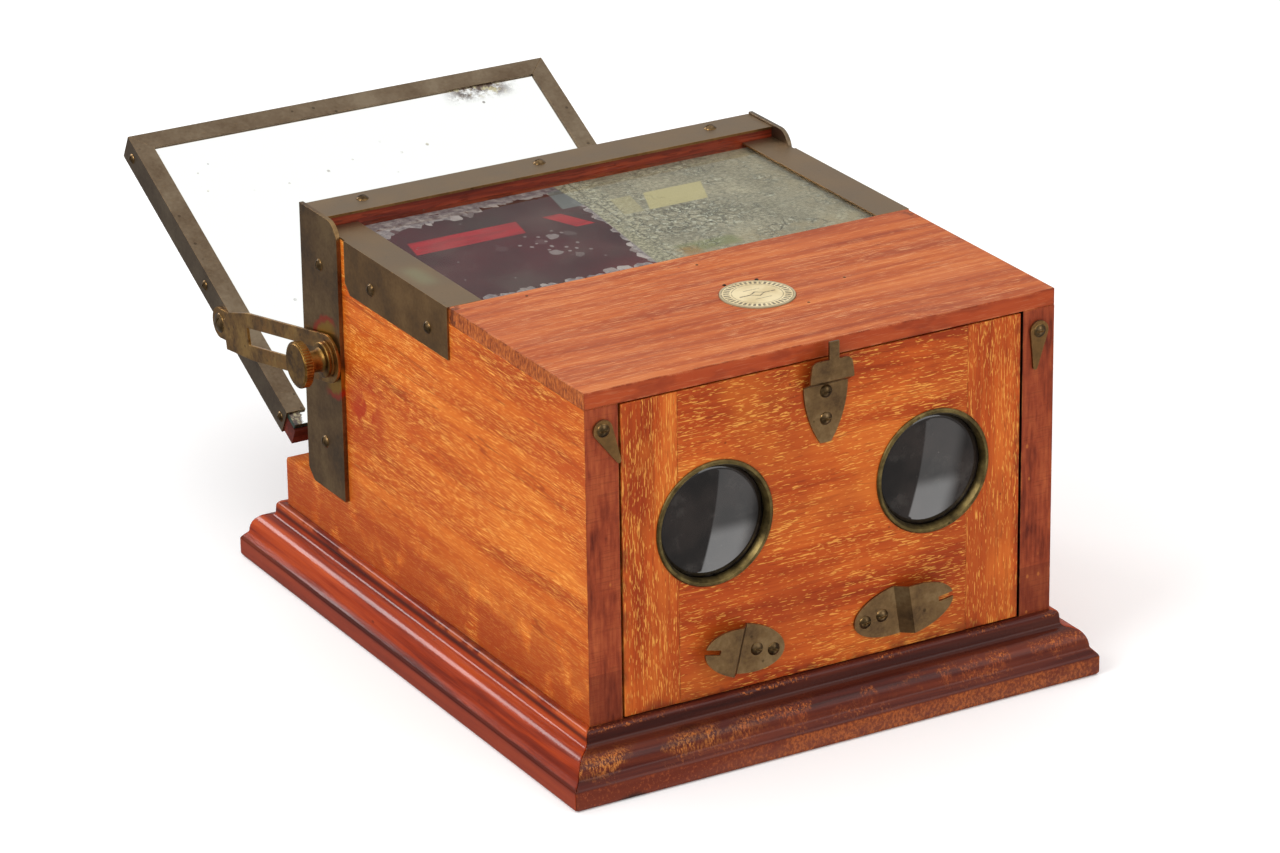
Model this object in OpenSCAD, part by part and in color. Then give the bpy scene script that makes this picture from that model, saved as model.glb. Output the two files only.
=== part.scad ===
// Table stereo viewer: a wooden case on a moulded base, with a pair of lenses in
// front, a filter window on top, a rear window, and a hinged mirror behind it that
// is held by a slotted stay and a thumb screw.
// +Z is up and the lenses face -Y. The origin is the centre of the base underside.
// Most sub-parts are drawn in the case frame: y is the distance behind the front
// face and z is the height above the base top.

/* [Case] */
// Outside width of the case
case_w = 200; // [190:1:210]
// Depth of the lid, from the front face to the top window
lid_depth = 101; // [95:1:105]
// Depth of the upper case, from the front face to the rear window
upper_depth = 219.6; // [215:0.1:224]
// Height of the side panels under the lid
side_h = 123.4; // [120:0.1:126]
// Thickness of the lid
lid_t = 6.6; // [6:0.1:7]
// Thickness of the side panels
side_t = 13.8; // [13:0.1:14]
// Depth of the low sill, from the front face to its back edge
sill_depth = 243.6; // [242:0.1:246]
// Height of the low sill
sill_h = 20.8; // [19:0.1:22]

/* [Base] */
// Height of the base
base_h = 25.3; // [24:0.1:27]
// Distance the base stands out from the case on the front and sides
base_overhang = 14.1; // [12:0.1:15]
// Distance the base stands out behind the sill
base_back_overhang = 16.9; // [15:0.1:18]
// Width of each moulding strip under the case
moulding_inset = 16; // [14:1:20]

/* [Front panel] */
// Running gap between the front panel and the side panels
panel_gap = 1.0; // [0.6:0.1:1.2]
// Thickness of the front panel
panel_t = 12; // [11:0.5:13]
// Width of the upright cleat at each end of the panel
cleat_w = 23.3; // [20:0.1:24]
// Distance between the lens centres
lens_pitch = 93.6; // [92:0.1:96]
// Height of the lens centres
lens_z = 68.5; // [64:0.5:72]
// Outside diameter of the brass lens rings
ring_d = 49; // [46:1:51]
// Clear diameter of each lens
lens_d = 45; // [42:1:45]
// Radius of each lens face; 238 gives a focal length of 229 in crown glass
lens_face_r = 238; // [230:1:300]
// Length of the runners behind the panel
runner_l = 70; // [60:1:72]

/* [Brass fittings] */
// Thickness of the upright side strips
strip_t = 1.8; // [1.5:0.1:2.2]
// Width of the upright side strips
strip_w = 31; // [29:0.1:32]
// Thickness of the angle brackets beside the top window
bracket_t = 0.8; // [0.6:0.1:1]
// Width of the bracket flange over the glass
flange_w = 14.8; // [14:0.1:16]
// Thickness of the spring clips on the front panel
clip_t = 0.9; // [0.7:0.1:1.2]
// Distance the clips stand off the panel
clip_rise = 4.6; // [3:0.1:6]
// Length of a turn button from pivot to tip
button_l = 15.3; // [12:0.1:15.4]

/* [Windows] */
// Thickness of each sheet of glass
glass_t = 1.6; // [1.4:0.1:1.8]
// Thickness of the colour filters
filter_t = 0.4; // [0.3:0.1:0.5]
// Thickness of the sloping reflector
reflector_t = 1.5; // [1:0.1:2]
// Distance behind the front at which the reflector meets the case floor
reflector_foot = 91; // [90:0.5:92]

/* [Mirror] */
// Slope of the open mirror above level
mirror_slope = 28; // [26:1:29]
// Width of the mirror frame
mirror_w = 194.6; // [190:0.1:198]
// Distance from the hinge pin to the top edge of the mirror
mirror_l = 167; // [160:1:170]
// Depth of the brass channel round the mirror
channel_depth = 11.2; // [11:0.1:12]
// Width of the channel lips
channel_lip = 8.3; // [7:0.1:9]
// Distance of the hinge pin behind the sill
hinge_back = 2.3; // [2.1:0.1:2.5]
// Height of the hinge pin above the sill
hinge_rise = 1.2; // [1:0.1:1.5]

/* [Stay] */
// Distance of the thumb screw behind the front face
thumb_y = 196.5; // [196:0.1:197]
// Height of the thumb screw
thumb_z = 78.5; // [78:0.1:80]
// Distance from the hinge pin to the stay pivot along the mirror
stay_pivot_s = 67.5; // [67:0.1:69]
// Width of the slotted stay
stay_w = 19.4; // [18.6:0.1:20]
// Width of the slot in the stay
slot_w = 7; // [6.6:0.1:7.4]
// Thickness of the stay
stay_t = 1.2; // [1:0.1:1.4]
// Diameter of the thumb screw head
thumb_d = 18.6; // [16:0.1:19]

/* [Hidden] */
$fn = 64;
eps = 0.05;

half_w = case_w / 2;
inner_half = half_w - side_t;
top_z = side_h + lid_t;
base_ref_d = sill_depth + base_back_overhang - base_overhang;
base_d = base_ref_d + 2 * base_overhang;
front_y = -base_d / 2 + base_overhang;

// Front panel
panel_half = inner_half - panel_gap;
panel_bottom = 0.4;
panel_top = side_h - 0.6;
core_half = panel_half - cleat_w;
ring_lip_t = 1;
tube_r = ring_d / 2 - 0.9;
shoulder_y = 2.2;
shoulder_w = 0.7;
lens_back = 6.2;

// Screws
head_r = 2.6;
head_h = 1.4;
shank_r = 1.1;
shank_l = 8;
hole_r = shank_r + eps;

// Top window
flange_z = top_z - bracket_t;
stack_t = 2 * glass_t + filter_t + 4 * eps;
top_rebate_z = flange_z - stack_t;
rebate_w = 8;
rail_front = upper_depth - 18.1;
rail_bottom = 112;
rail_top = top_z + 3.3;
top_strip_t = 1;
bar_y = lid_depth - 10;

// Rear window
rear_rebate_w = 4;
rear_rebate_y = upper_depth - stack_t;
bead_t = 2.4;

// Sheets of glass and the reflector
sheet_half = inner_half + rebate_w - 0.1;
rear_sheet_half = inner_half + rear_rebate_w - 0.1;
second_sheet = glass_t + 2 * eps;
third_sheet = second_sheet + filter_t + eps;
reflector_low = 5;
reflector_high = 150;

// Brass fittings
strip_y = upper_depth - strip_w;
strip_top = top_z + 5.2;
strip_screw_y = strip_y + 15.6;
strip_screw_zs = [41, 114.2];
bracket_bottom = 109;
bracket_back = 184.5;
bracket_screw_ys = [117, 163];
bracket_screw_z = 116.9;
top_screw_xs = [-78, 0, 78];
top_screw_y = 212.6;
button_x = 92.9;
button_z = 114.8;
button_t = 1;
button_r = 3.9;
button_shank_l = 9;
button_tip_r = 0.9;
button_left_angle = 26.2;
button_right_angle = -6.4;
clip_angles = [13.5, 8.4];
clip_end_xs = [18, 12.5];
clip_end_zs = [12, 13.6];
clip_lengths = [37.2, 40.9];
clip_screw_us = [4.7, 12.1];
catch_screw_zs = [99.6, 110.3];
catch_tip_z = 90.2;
panel_shank_l = 7;
badge_x = 3;
badge_y = 52;
badge_r = 14.25;
badge_sink = 0.6;

// Mirror and hinge
hinge_y = sill_depth + hinge_back;
hinge_z = sill_h + hinge_rise;
channel_back = 1.5;
channel_t = 0.8;
mirror_half = mirror_w / 2;
channel_foot = 8.3;
board_back = channel_back + channel_t + eps;
glass_front = channel_back + channel_depth - channel_t - eps;
mirror_glass_t = 2.2;
board_front = glass_front - mirror_glass_t - eps;
board_foot = 0.8;
mirror_screw_ss = [12, 86, 160];
mirror_screw_f = 6.5;
knuckle_r = 1.9;
leaf_t = 1.2;
pin_r = 0.8;
hinge_l = 30;
leaf_h = 13;
hinge_xs = [-62, 62];

// Stay and thumb screw
stay_pivot_f = 4;
eye_r = 6.5;
stay_y = hinge_y + stay_pivot_s * cos(mirror_slope) - stay_pivot_f * sin(mirror_slope);
stay_z = hinge_z + stay_pivot_s * sin(mirror_slope) + stay_pivot_f * cos(mirror_slope);
stay_l = norm([thumb_y - stay_y, thumb_z - stay_z]);
stay_a = atan2(thumb_z - stay_z, thumb_y - stay_y);
boss_t = 0.8;
boss_r = 8.5;
boss_hub_r = 4;
boss_hub_l = 9;
eye_out = mirror_half + eps;
stay_out = half_w + strip_t + boss_t + eps;
washer_out = stay_out + stay_t + eps;
washer_t = 0.9;
washer_r = 7.3;
shoulder_out = washer_out + washer_t + eps;
stud_r = 2;
slot_rear = 38;
pivot_shank_r = 1.6;
pivot_shank_l = 9;

module case_frame() {
    translate([0, front_y, base_h]) children();
}

// x across, y up the mirror from the hinge pin, z out of the mirror's front
module mirror_frame() {
    case_frame()
        translate([0, hinge_y, hinge_z])
            rotate([mirror_slope, 0, 0])
                children();
}

// x across, y along the stay from its pivot towards the thumb screw
module stay_frame() {
    case_frame()
        translate([0, stay_y, stay_z])
            rotate([stay_a, 0, 0])
                children();
}

// z outward along the thumb screw from the case's middle plane
module thumb_frame() {
    case_frame()
        translate([0, thumb_y, thumb_z])
            rotate([0, -90, 0])
                children();
}

module flip(side) {
    mirror([side < 0 ? 0 : 1, 0, 0]) children();
}

// A solid from x0 to x1 with an outline in y and z
module side_slab(x0, x1) {
    translate([x0, 0, 0])
        rotate([90, 0, 90])
            linear_extrude(x1 - x0)
                children();
}

module block(low, high) {
    translate(low) cube(high - low);
}

// Dome-headed slotted screw: its head stands on z = 0 and its shank goes down
module dome_screw(r = head_r, h = head_h, shank = shank_l) {
    ball_r = (r * r + h * h) / (2 * h);
    difference() {
        intersection() {
            translate([0, 0, h - ball_r]) sphere(ball_r);
            cylinder(h = h, r = r);
        }
        translate([-r, -0.25, h * 0.55]) cube([2 * r, 0.5, h]);
    }
    translate([0, 0, -shank]) cylinder(h = shank + 0.1, r = shank_r, $fn = 32);
}

module screw_hole(depth) {
    translate([0, 0, -depth]) cylinder(h = depth + 1, r = hole_r, $fn = 32);
}

module facing_left() {
    rotate([0, -90, 0]) children();
}

module facing_front() {
    rotate([90, 0, 0]) children();
}

// A strip of sheet that steps outward: flat for a, sloping for b, flat for c
module joggle(a, b, c, rise, t) {
    polygon([[0, 0], [a, 0], [a + b, rise], [a + b + c, rise],
             [a + b + c, rise + t], [a + b, rise + t], [a, t], [0, t]]);
}

// ---- Base ----

module moulding_profile() {
    steps = 8;
    cove_r = 2.2;
    ovolo_w = 6;
    ovolo_h = 7.8;
    cove = [for (i = [0:steps]) let (a = 90 * i / steps)
        [3.1 + cove_r * (1 - cos(a)), -4.2 - cove_r * sin(a)]];
    ovolo = [for (i = [0:steps]) let (a = 90 * i / steps)
        [5.3 + ovolo_w * sin(a), -6.4 - ovolo_h * (1 - cos(a))]];
    slab = base_overhang - 0.9;
    edge = [[slab, -16.2], [base_overhang, -17.3], [base_overhang, -base_h + 1],
            [base_overhang - 1, -base_h]];
    polygon(concat([[-moulding_inset, 0], [2, 0], [2.9, -1.2]], cove, ovolo, edge,
                   [[-moulding_inset, -base_h]]));
}

// One mitred strip along +x, its outside facing -y, its case line on y = 0
module moulding_strip(length) {
    out = base_overhang + 1;
    in = moulding_inset + 1;
    half_l = length / 2;
    intersection() {
        translate([-half_l - out, 0, 0])
            rotate([90, 0, 90])
                linear_extrude(length + 2 * out)
                    mirror([1, 0])
                        moulding_profile();
        translate([0, 0, -base_h - 1])
            linear_extrude(base_h + 2)
                polygon([[-half_l - out, -out], [half_l + out, -out],
                         [half_l - in, in], [-half_l + in, in]]);
    }
}

module base_board() {
    color("#5a1f14")
        case_frame()
            block([-half_w + moulding_inset, moulding_inset, -base_h],
                  [half_w - moulding_inset, base_ref_d - moulding_inset, 0]);
}

module base_moulding_front() {
    color("#6e2a1c")
        case_frame()
            moulding_strip(case_w);
}

module base_moulding_back() {
    color("#6e2a1c")
        case_frame()
            translate([0, base_ref_d, 0])
                rotate(180)
                    moulding_strip(case_w);
}

module base_moulding_side(side) {
    color("#6e2a1c")
        case_frame()
            translate([side * half_w, base_ref_d / 2, 0])
                rotate(side * 90)
                    moulding_strip(base_ref_d);
}

module base_moulding_left() {
    base_moulding_side(-1);
}

module base_moulding_right() {
    base_moulding_side(1);
}

// ---- Case ----

module side_panel_outline() {
    corner_r = 2.5;
    polygon([[0, 0], [sill_depth, 0],
             for (a = [0:15:90]) [sill_depth - corner_r * (1 - cos(a)),
                                  sill_h - corner_r * (1 - sin(a))],
             [upper_depth, sill_h], [upper_depth, flange_z], [lid_depth, flange_z],
             [lid_depth, side_h], [0, side_h]]);
}

// The left side panel; the right one is its mirror image
module side_panel() {
    difference() {
        side_slab(-half_w, -inner_half) side_panel_outline();
        block([-inner_half - rebate_w, lid_depth - 1, top_rebate_z],
              [-inner_half + 1, rail_front, flange_z + 1]);
        block([-inner_half - rear_rebate_w, rear_rebate_y, sill_h],
              [-inner_half + 1, upper_depth + 1, rail_bottom]);
        block([-half_w - 1, rail_front, flange_z - 0.5],
              [-inner_half + 1, upper_depth + 1, flange_z + 1]);
        side_screw_places(-half_w) screw_hole(shank_l);
        translate([-button_x, 0, button_z])
            facing_front()
                screw_hole(button_shank_l);
    }
}

// Where the strip and bracket screws enter a side whose outer face is at x
module side_screw_places(x) {
    for (z = strip_screw_zs)
        translate([x, strip_screw_y, z]) facing_left() children();
    for (y = bracket_screw_ys)
        translate([x, y, bracket_screw_z]) facing_left() children();
}

module side_panel_left() {
    color("#d9641c")
        difference() {
            case_frame() side_panel();
            thumb_frame()
                translate([0, 0, half_w - boss_hub_l])
                    cylinder(h = boss_hub_l + 1, r = boss_hub_r + eps);
        }
}

module side_panel_right() {
    color("#d9641c")
        case_frame()
            flip(1)
                side_panel();
}

module rear_sill() {
    color("#8a3420")
        case_frame()
            difference() {
                block([-inner_half, rear_rebate_y - 12, 0], [inner_half, sill_depth, sill_h]);
                hinge_sill_screws() screw_hole(6.5);
            }
}

module lid() {
    color("#cf7a4e")
        case_frame()
            difference() {
                block([-half_w, 0, side_h], [half_w, lid_depth, top_z]);
                translate([badge_x, badge_y, top_z - badge_sink])
                    cylinder(h = badge_sink + 1, r = badge_r + eps);
            }
}

// The bar under the back of the lid that carries the front edge of the glass
module window_cross_bar() {
    color("#7a2c18")
        case_frame()
            side_slab(-inner_half, inner_half)
                polygon([[bar_y, 113], [bar_y + 14, 113], [bar_y + 14, top_rebate_z],
                         [lid_depth, top_rebate_z], [lid_depth, side_h], [bar_y, side_h]]);
}

// The rail over the rear window; its upper part also covers the side panels
module rear_top_rail() {
    ledge = 4;
    color("#a8431f")
        case_frame()
            difference() {
                union() {
                    side_slab(-inner_half, inner_half)
                        polygon([[rail_front - ledge, rail_bottom], [upper_depth, rail_bottom],
                                 [upper_depth, rail_top], [rail_front, rail_top],
                                 [rail_front, top_rebate_z],
                                 [rail_front - ledge, top_rebate_z]]);
                    block([-half_w, rail_front, flange_z - 0.5],
                          [half_w, upper_depth, rail_top]);
                }
                for (x = top_screw_xs)
                    translate([x, top_screw_y, rail_top])
                        screw_hole(shank_l);
            }
}

// ---- Front panel ----

// The holes for the lens rings, which also cut into the cleats
module lens_bores() {
    for (x = [-1, 1] * lens_pitch / 2)
        translate([x, panel_t + 1, lens_z])
            facing_front()
                cylinder(h = panel_t + 2, r = tube_r + eps, $fn = 96);
}

module lens_panel() {
    color("#c4491c")
        case_frame()
            difference() {
                block([-core_half, 0, panel_bottom], [core_half, panel_t, panel_top]);
                lens_bores();
                panel_screw_places() screw_hole(panel_shank_l);
            }
}

// The two upright cleats that close the ends of the front panel
module panel_cleats() {
    color("#c4491c")
        case_frame()
            difference() {
                for (side = [-1, 1])
                    flip(side)
                        block([-panel_half, 0, panel_bottom],
                              [-core_half, panel_t, panel_top]);
                lens_bores();
            }
}

// Runners behind the panel that keep it square as it slides
module focus_runners() {
    color("#8a3a1c")
        case_frame()
            for (side = [-1, 1])
                flip(side)
                    block([-panel_half, panel_t, panel_bottom],
                          [-panel_half + 10, panel_t + runner_l, 12]);
}

module lens_place(side) {
    case_frame()
        translate([side * lens_pitch / 2, 0, lens_z])
            rotate([-90, 0, 0])
                children();
}

// A thin rim on the panel, a tube through it and a shoulder for the lens
module lens_ring(side) {
    color("#8d8050")
        lens_place(side)
            rotate_extrude($fn = 96)
                polygon([[lens_d / 2 - shoulder_w, shoulder_y - 1.2], [lens_d / 2 + 0.4, -ring_lip_t],
                         [ring_d / 2 - 0.5, -ring_lip_t], [ring_d / 2, -0.5], [ring_d / 2, 0],
                         [tube_r, 0], [tube_r, panel_t + 1.5],
                         [lens_d / 2 + eps, panel_t + 1.5], [lens_d / 2 + eps, shoulder_y],
                         [lens_d / 2 - shoulder_w, shoulder_y]]);
}

module lens_ring_left() {
    lens_ring(-1);
}

module lens_ring_right() {
    lens_ring(1);
}

// Depth of the cap that a circle of radius r cuts from a lens face
function cap_depth(r) = lens_face_r - sqrt(lens_face_r * lens_face_r - r * r);

// A double convex lens whose front face seats on the inner edge of the ring's shoulder. Its
// faces are small caps of large spheres, which need a high $fn to keep their bulge
module lens(side) {
    rim_r = lens_d / 2;
    sag = cap_depth(rim_r);
    front = shoulder_y + eps + sag - cap_depth(rim_r - shoulder_w);
    back = lens_back - eps;
    color("#9fb0ae")
        lens_place(side)
            intersection() {
                translate([0, 0, front - sag + lens_face_r]) sphere(lens_face_r, $fn = 480);
                translate([0, 0, back + sag - lens_face_r]) sphere(lens_face_r, $fn = 480);
                translate([0, 0, front - sag]) cylinder(h = back - front + 2 * sag, r = rim_r);
            }
}

module lens_left() {
    lens(-1);
}

module lens_right() {
    lens(1);
}

// Rings behind the lenses; their inner edges clear the bulge of the glass
module lens_retaining_rings() {
    ring_t = 2;
    ring_wall = 1.2;
    bulge = 0.15;
    color("#8d8050")
        for (side = [-1, 1])
            lens_place(side)
                translate([0, 0, lens_back + bulge])
                    difference() {
                        cylinder(h = ring_t, r = lens_d / 2, $fn = 96);
                        translate([0, 0, -1])
                            cylinder(h = ring_t + 2, r = lens_d / 2 - ring_wall, $fn = 96);
                    }
}

// A leaf from x = 0 to x = length: two wide arcs that overlap, rounded at the ends
module leaf_outline(length, half_width, arc_r) {
    intersection() {
        translate([length / 2, arc_r - half_width]) circle(arc_r, $fn = 128);
        translate([length / 2, half_width - arc_r]) circle(arc_r, $fn = 128);
        translate([length / 2, 0]) circle(length / 2, $fn = 96);
    }
}

// The outline seen from in front, drawn up out of z, cut to the thickness of a
// sheet that steps outward between x = a and x = a + b
module stepped_sheet(a, b, rise, t) {
    far = 60;
    intersection() {
        linear_extrude(rise + t + 1) children();
        rotate([90, 0, 0])
            linear_extrude(far, center = true)
                joggle(a, b, far, rise, t);
    }
}

// An oval from x = 0 to x = length
module oval_outline(length, half_width) {
    translate([length / 2, 0])
        polygon([for (a = [0:6:354]) [length / 2 * cos(a), half_width * sin(a)]]);
}

// The clips differ a little; their lists hold the left one first
function clip_index(side) = side < 0 ? 0 : 1;

// x along a clip from its screwed end, z out of the panel
module clip_place(side) {
    i = clip_index(side);
    translate([side * clip_end_xs[i], 0, clip_end_zs[i]])
        facing_front()
            rotate(side < 0 ? 180 - clip_angles[i] : clip_angles[i])
                children();
}

// A leaf spring whose raised end is forked
module clip(side) {
    fork_w = 2;
    fork_l = 6.5;
    length = clip_lengths[clip_index(side)];
    color("#63523a")
        case_frame()
            clip_place(side)
                difference() {
                    stepped_sheet(18.6, 4, clip_rise, clip_t)
                        difference() {
                            oval_outline(length, 9.8);
                            translate([length - fork_l, -fork_w / 2])
                                square([fork_l + 1, fork_w]);
                        }
                    for (u = clip_screw_us)
                        translate([u, 0, clip_t]) screw_hole(clip_t + 1);
                }
}

module clip_left() {
    clip(-1);
}

module clip_right() {
    clip(1);
}

module catch_place() {
    case_frame()
        translate([0, 0, catch_tip_z])
            facing_front()
                rotate(90)
                    children();
}

// A leaf that widens upward to a pair of shoulders with a narrow tongue above them
module catch_outline() {
    shoulder = 33.8;
    corner_r = 3.6;
    half_top = 9.2;
    intersection() {
        leaf_outline(47, 9.4, 42);
        union() {
            translate([0, -12]) square([shoulder - corner_r, 24]);
            translate([0, corner_r - half_top])
                square([shoulder, 2 * (half_top - corner_r)]);
            for (side = [-1, 1])
                translate([shoulder - corner_r, side * (half_top - corner_r)])
                    circle(corner_r);
        }
    }
    translate([shoulder - 1, -2.9]) square([top_z + 1 - catch_tip_z - shoulder + 1, 4.2]);
}

module top_catch() {
    color("#63523a")
        catch_place()
            difference() {
                stepped_sheet(22.8, 3, clip_rise, clip_t) catch_outline();
                for (z = catch_screw_zs)
                    translate([z - catch_tip_z, 0, clip_t]) screw_hole(clip_t + 1);
            }
}

// The places of the six screws that hold the catch and the clips
module panel_screw_places() {
    for (z = catch_screw_zs)
        translate([0, -clip_t, z]) facing_front() children();
    for (side = [-1, 1])
        clip_place(side)
            for (u = clip_screw_us)
                translate([u, 0, clip_t]) children();
}

module panel_screws() {
    color("#4e4230")
        case_frame()
            panel_screw_places() dome_screw(shank = panel_shank_l);
}

// A round eye drawn out to a small rounded tip below it
module turn_button(side, angle) {
    tip_y = button_tip_r - button_l;
    lean = asin((button_r - button_tip_r) / -tip_y);
    color("#7d6c48")
        case_frame()
            translate([side * button_x, -eps, button_z])
                facing_front()
                    rotate(angle)
                        difference() {
                            linear_extrude(button_t) {
                                circle(button_r);
                                translate([0, tip_y]) circle(button_tip_r, $fn = 32);
                                polygon([[button_r * cos(lean), -button_r * sin(lean)],
                                         [button_tip_r * cos(lean),
                                          tip_y - button_tip_r * sin(lean)],
                                         [-button_tip_r * cos(lean),
                                          tip_y - button_tip_r * sin(lean)],
                                         [-button_r * cos(lean), -button_r * sin(lean)]]);
                            }
                            translate([0, 0, button_t]) screw_hole(button_t + 1);
                        }
}

module turn_button_left() {
    turn_button(-1, button_left_angle);
}

module turn_button_right() {
    turn_button(1, button_right_angle);
}

// ---- Brass on the case ----

// The left strip: its upper front corner is round and its lower back one clipped
module side_strip() {
    corner_r = 8;
    clip = 4.5;
    difference() {
        side_slab(-half_w - strip_t, -half_w)
            polygon([[strip_y, sill_h], [upper_depth - clip, sill_h],
                     [upper_depth, sill_h + clip], [upper_depth, strip_top],
                     for (a = [0:10:90]) [strip_y + corner_r * (1 - sin(a)),
                                          strip_top - corner_r * (1 - cos(a))]]);
        for (z = strip_screw_zs)
            translate([-half_w, strip_screw_y, z])
                facing_left()
                    translate([0, 0, strip_t]) screw_hole(strip_t + 1);
    }
}

module side_strip_left() {
    color("#63523a")
        difference() {
            case_frame() side_strip();
            thumb_frame()
                translate([0, 0, half_w - 1])
                    cylinder(h = strip_t + 2, r = boss_hub_r + eps);
        }
}

module side_strip_right() {
    color("#63523a")
        case_frame()
            flip(1)
                side_strip();
}

module top_strip() {
    color("#6f5e40")
        case_frame()
            difference() {
                block([-half_w + 0.1, rail_front - 0.3, rail_top],
                      [half_w - 0.1, upper_depth, rail_top + top_strip_t]);
                for (x = top_screw_xs)
                    translate([x, top_screw_y, rail_top + top_strip_t])
                        screw_hole(top_strip_t + 1);
            }
}

// The left bracket: a leg down the side and a flange over the edge of the glass
module angle_bracket() {
    front = lid_depth + 0.1;
    clip = 4;
    difference() {
        union() {
            side_slab(-half_w - bracket_t, -half_w)
                polygon([[front, bracket_bottom], [bracket_back - clip, bracket_bottom],
                         [bracket_back, bracket_bottom + clip], [bracket_back, top_z],
                         [front, top_z]]);
            block([-half_w - bracket_t, front, flange_z],
                  [-half_w - bracket_t + flange_w, bracket_back, top_z]);
            block([-half_w, front, flange_z],
                  [-half_w - bracket_t + flange_w, rail_front - 0.4, top_z]);
        }
        for (y = bracket_screw_ys)
            translate([-half_w, y, bracket_screw_z])
                facing_left()
                    translate([0, 0, bracket_t]) screw_hole(bracket_t + 1);
    }
}

module angle_bracket_left() {
    color("#7a6a47")
        case_frame()
            angle_bracket();
}

module angle_bracket_right() {
    color("#7a6a47")
        case_frame()
            flip(1)
                angle_bracket();
}

module side_screws() {
    for (z = strip_screw_zs)
        translate([-half_w - strip_t, strip_screw_y, z]) facing_left() dome_screw();
    for (y = bracket_screw_ys)
        translate([-half_w - bracket_t, y, bracket_screw_z]) facing_left() dome_screw();
}

module case_screws() {
    color("#4e4230")
        case_frame() {
            for (side = [-1, 1]) {
                flip(side) side_screws();
                translate([side * button_x, -button_t - 2 * eps, button_z])
                    facing_front()
                        dome_screw(h = 1.1, shank = button_shank_l);
            }
            for (x = top_screw_xs)
                translate([x, top_screw_y, rail_top + top_strip_t]) dome_screw();
            hinge_sill_screws() dome_screw(r = 1.9, h = 0.8, shank = 6);
        }
}

// ---- Windows and optics ----

// One sheet of the top window from x0 to x1, at a height above the rebate
module top_sheet(x0, x1, low, t) {
    case_frame()
        block([x0, lid_depth + 0.1, top_rebate_z + low],
              [x1, rail_front - 0.1, top_rebate_z + low + t]);
}

// One sheet of the rear window from x0 to x1, at a distance behind its rebate
module rear_sheet(x0, x1, behind, t) {
    case_frame()
        block([x0, rear_rebate_y + behind, sill_h + eps],
              [x1, rear_rebate_y + behind + t, rail_bottom - eps]);
}

module top_glass_lower() {
    color("#b9c4b4", 0.4) top_sheet(-sheet_half, sheet_half, eps, glass_t);
}

module top_red_filter() {
    color("#6d1a2c", 0.8) top_sheet(-sheet_half, -eps, second_sheet, filter_t);
}

module top_green_filter() {
    color("#8f947c", 0.8) top_sheet(eps, sheet_half, second_sheet, filter_t);
}

module top_glass_upper() {
    color("#b9c4b4", 0.4) top_sheet(-sheet_half, sheet_half, third_sheet, glass_t);
}

module rear_glass_inner() {
    color("#b9c4b4", 0.4) rear_sheet(-rear_sheet_half, rear_sheet_half, eps, glass_t);
}

module rear_green_filter() {
    color("#8f947c", 0.8) rear_sheet(-rear_sheet_half, -eps, second_sheet, filter_t);
}

module rear_red_filter() {
    color("#6d1a2c", 0.8) rear_sheet(eps, rear_sheet_half, second_sheet, filter_t);
}

module rear_glass_outer() {
    color("#c9d2c6", 0.6) rear_sheet(-rear_sheet_half, rear_sheet_half, third_sheet, glass_t);
}

// Beads on the back of the case that hold the rear glass in its rebate
module rear_glass_beads() {
    lap = 2;
    bead_w = 10;
    edge = inner_half;
    color("#8a3420")
        case_frame() {
            for (side = [-1, 1])
                flip(side)
                    block([-edge - bead_w, upper_depth, sill_h + eps],
                          [-edge, upper_depth + bead_t, rail_bottom + bead_w - lap]);
            block([-edge + eps, upper_depth, rail_bottom - lap],
                  [edge - eps, upper_depth + bead_t, rail_bottom + bead_w - lap]);
        }
}

// x across, y up the slope of the reflector, z towards the lenses
module reflector_frame() {
    case_frame()
        translate([0, reflector_foot, 0])
            rotate([45, 0, 0])
                children();
}

module reflector_glass() {
    color("#c8d6d2", 0.35)
        reflector_frame()
            block([-inner_half + 0.1, reflector_low, 0],
                  [inner_half - 0.1, reflector_high, reflector_t]);
}

// A pair of battens on each side panel that make a groove for the reflector
module reflector_rails() {
    rail_w = 5;
    color("#3a1c12")
        reflector_frame()
            for (side = [-1, 1])
                flip(side)
                    for (z = [-rail_w - eps, reflector_t + eps])
                        block([-inner_half + eps, reflector_low + 0.1, z],
                              [-inner_half + rail_w, reflector_high, z + rail_w]);
}

// Partitions before and behind the reflector that keep each eye to its own picture
module septum() {
    half_t = 1.5;
    ledge_y = rail_front - 4.1;
    before = reflector_foot - 2.9;
    behind = reflector_foot + 0.7;
    sill_front = rear_rebate_y - 12.1;
    color("#241611")
        case_frame()
            side_slab(-half_t, half_t) {
                polygon([[panel_t + 4, 0], [before, 0], [ledge_y, ledge_y - before],
                         [ledge_y, top_rebate_z - 0.3], [bar_y + 14.1, top_rebate_z - 0.3],
                         [bar_y + 14.1, 112.9], [bar_y - 0.1, 112.9],
                         [bar_y - 0.1, side_h], [panel_t + 4, side_h]]);
                polygon([[behind, 0], [sill_front, 0], [sill_front, sill_h + 0.1],
                         [rear_rebate_y - 0.1, sill_h + 0.1],
                         [rear_rebate_y - 0.1, rail_bottom - 0.1],
                         [behind + rail_bottom - 0.1, rail_bottom - 0.1]]);
            }
}

// A round plate let into the lid
module badge() {
    color("#e6ddc4")
        case_frame()
            translate([badge_x, badge_y, top_z - badge_sink])
                cylinder(h = badge_sink + 0.4, r = badge_r, $fn = 96);
}

// ---- Mirror ----

module mirror_side_places() {
    for (side = [-1, 1])
        flip(side)
            for (s = mirror_screw_ss)
                translate([-mirror_half, s, mirror_screw_f]) facing_left() children();
}

module pivot_place() {
    translate([-mirror_half, stay_pivot_s, stay_pivot_f]) facing_left() children();
}

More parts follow.
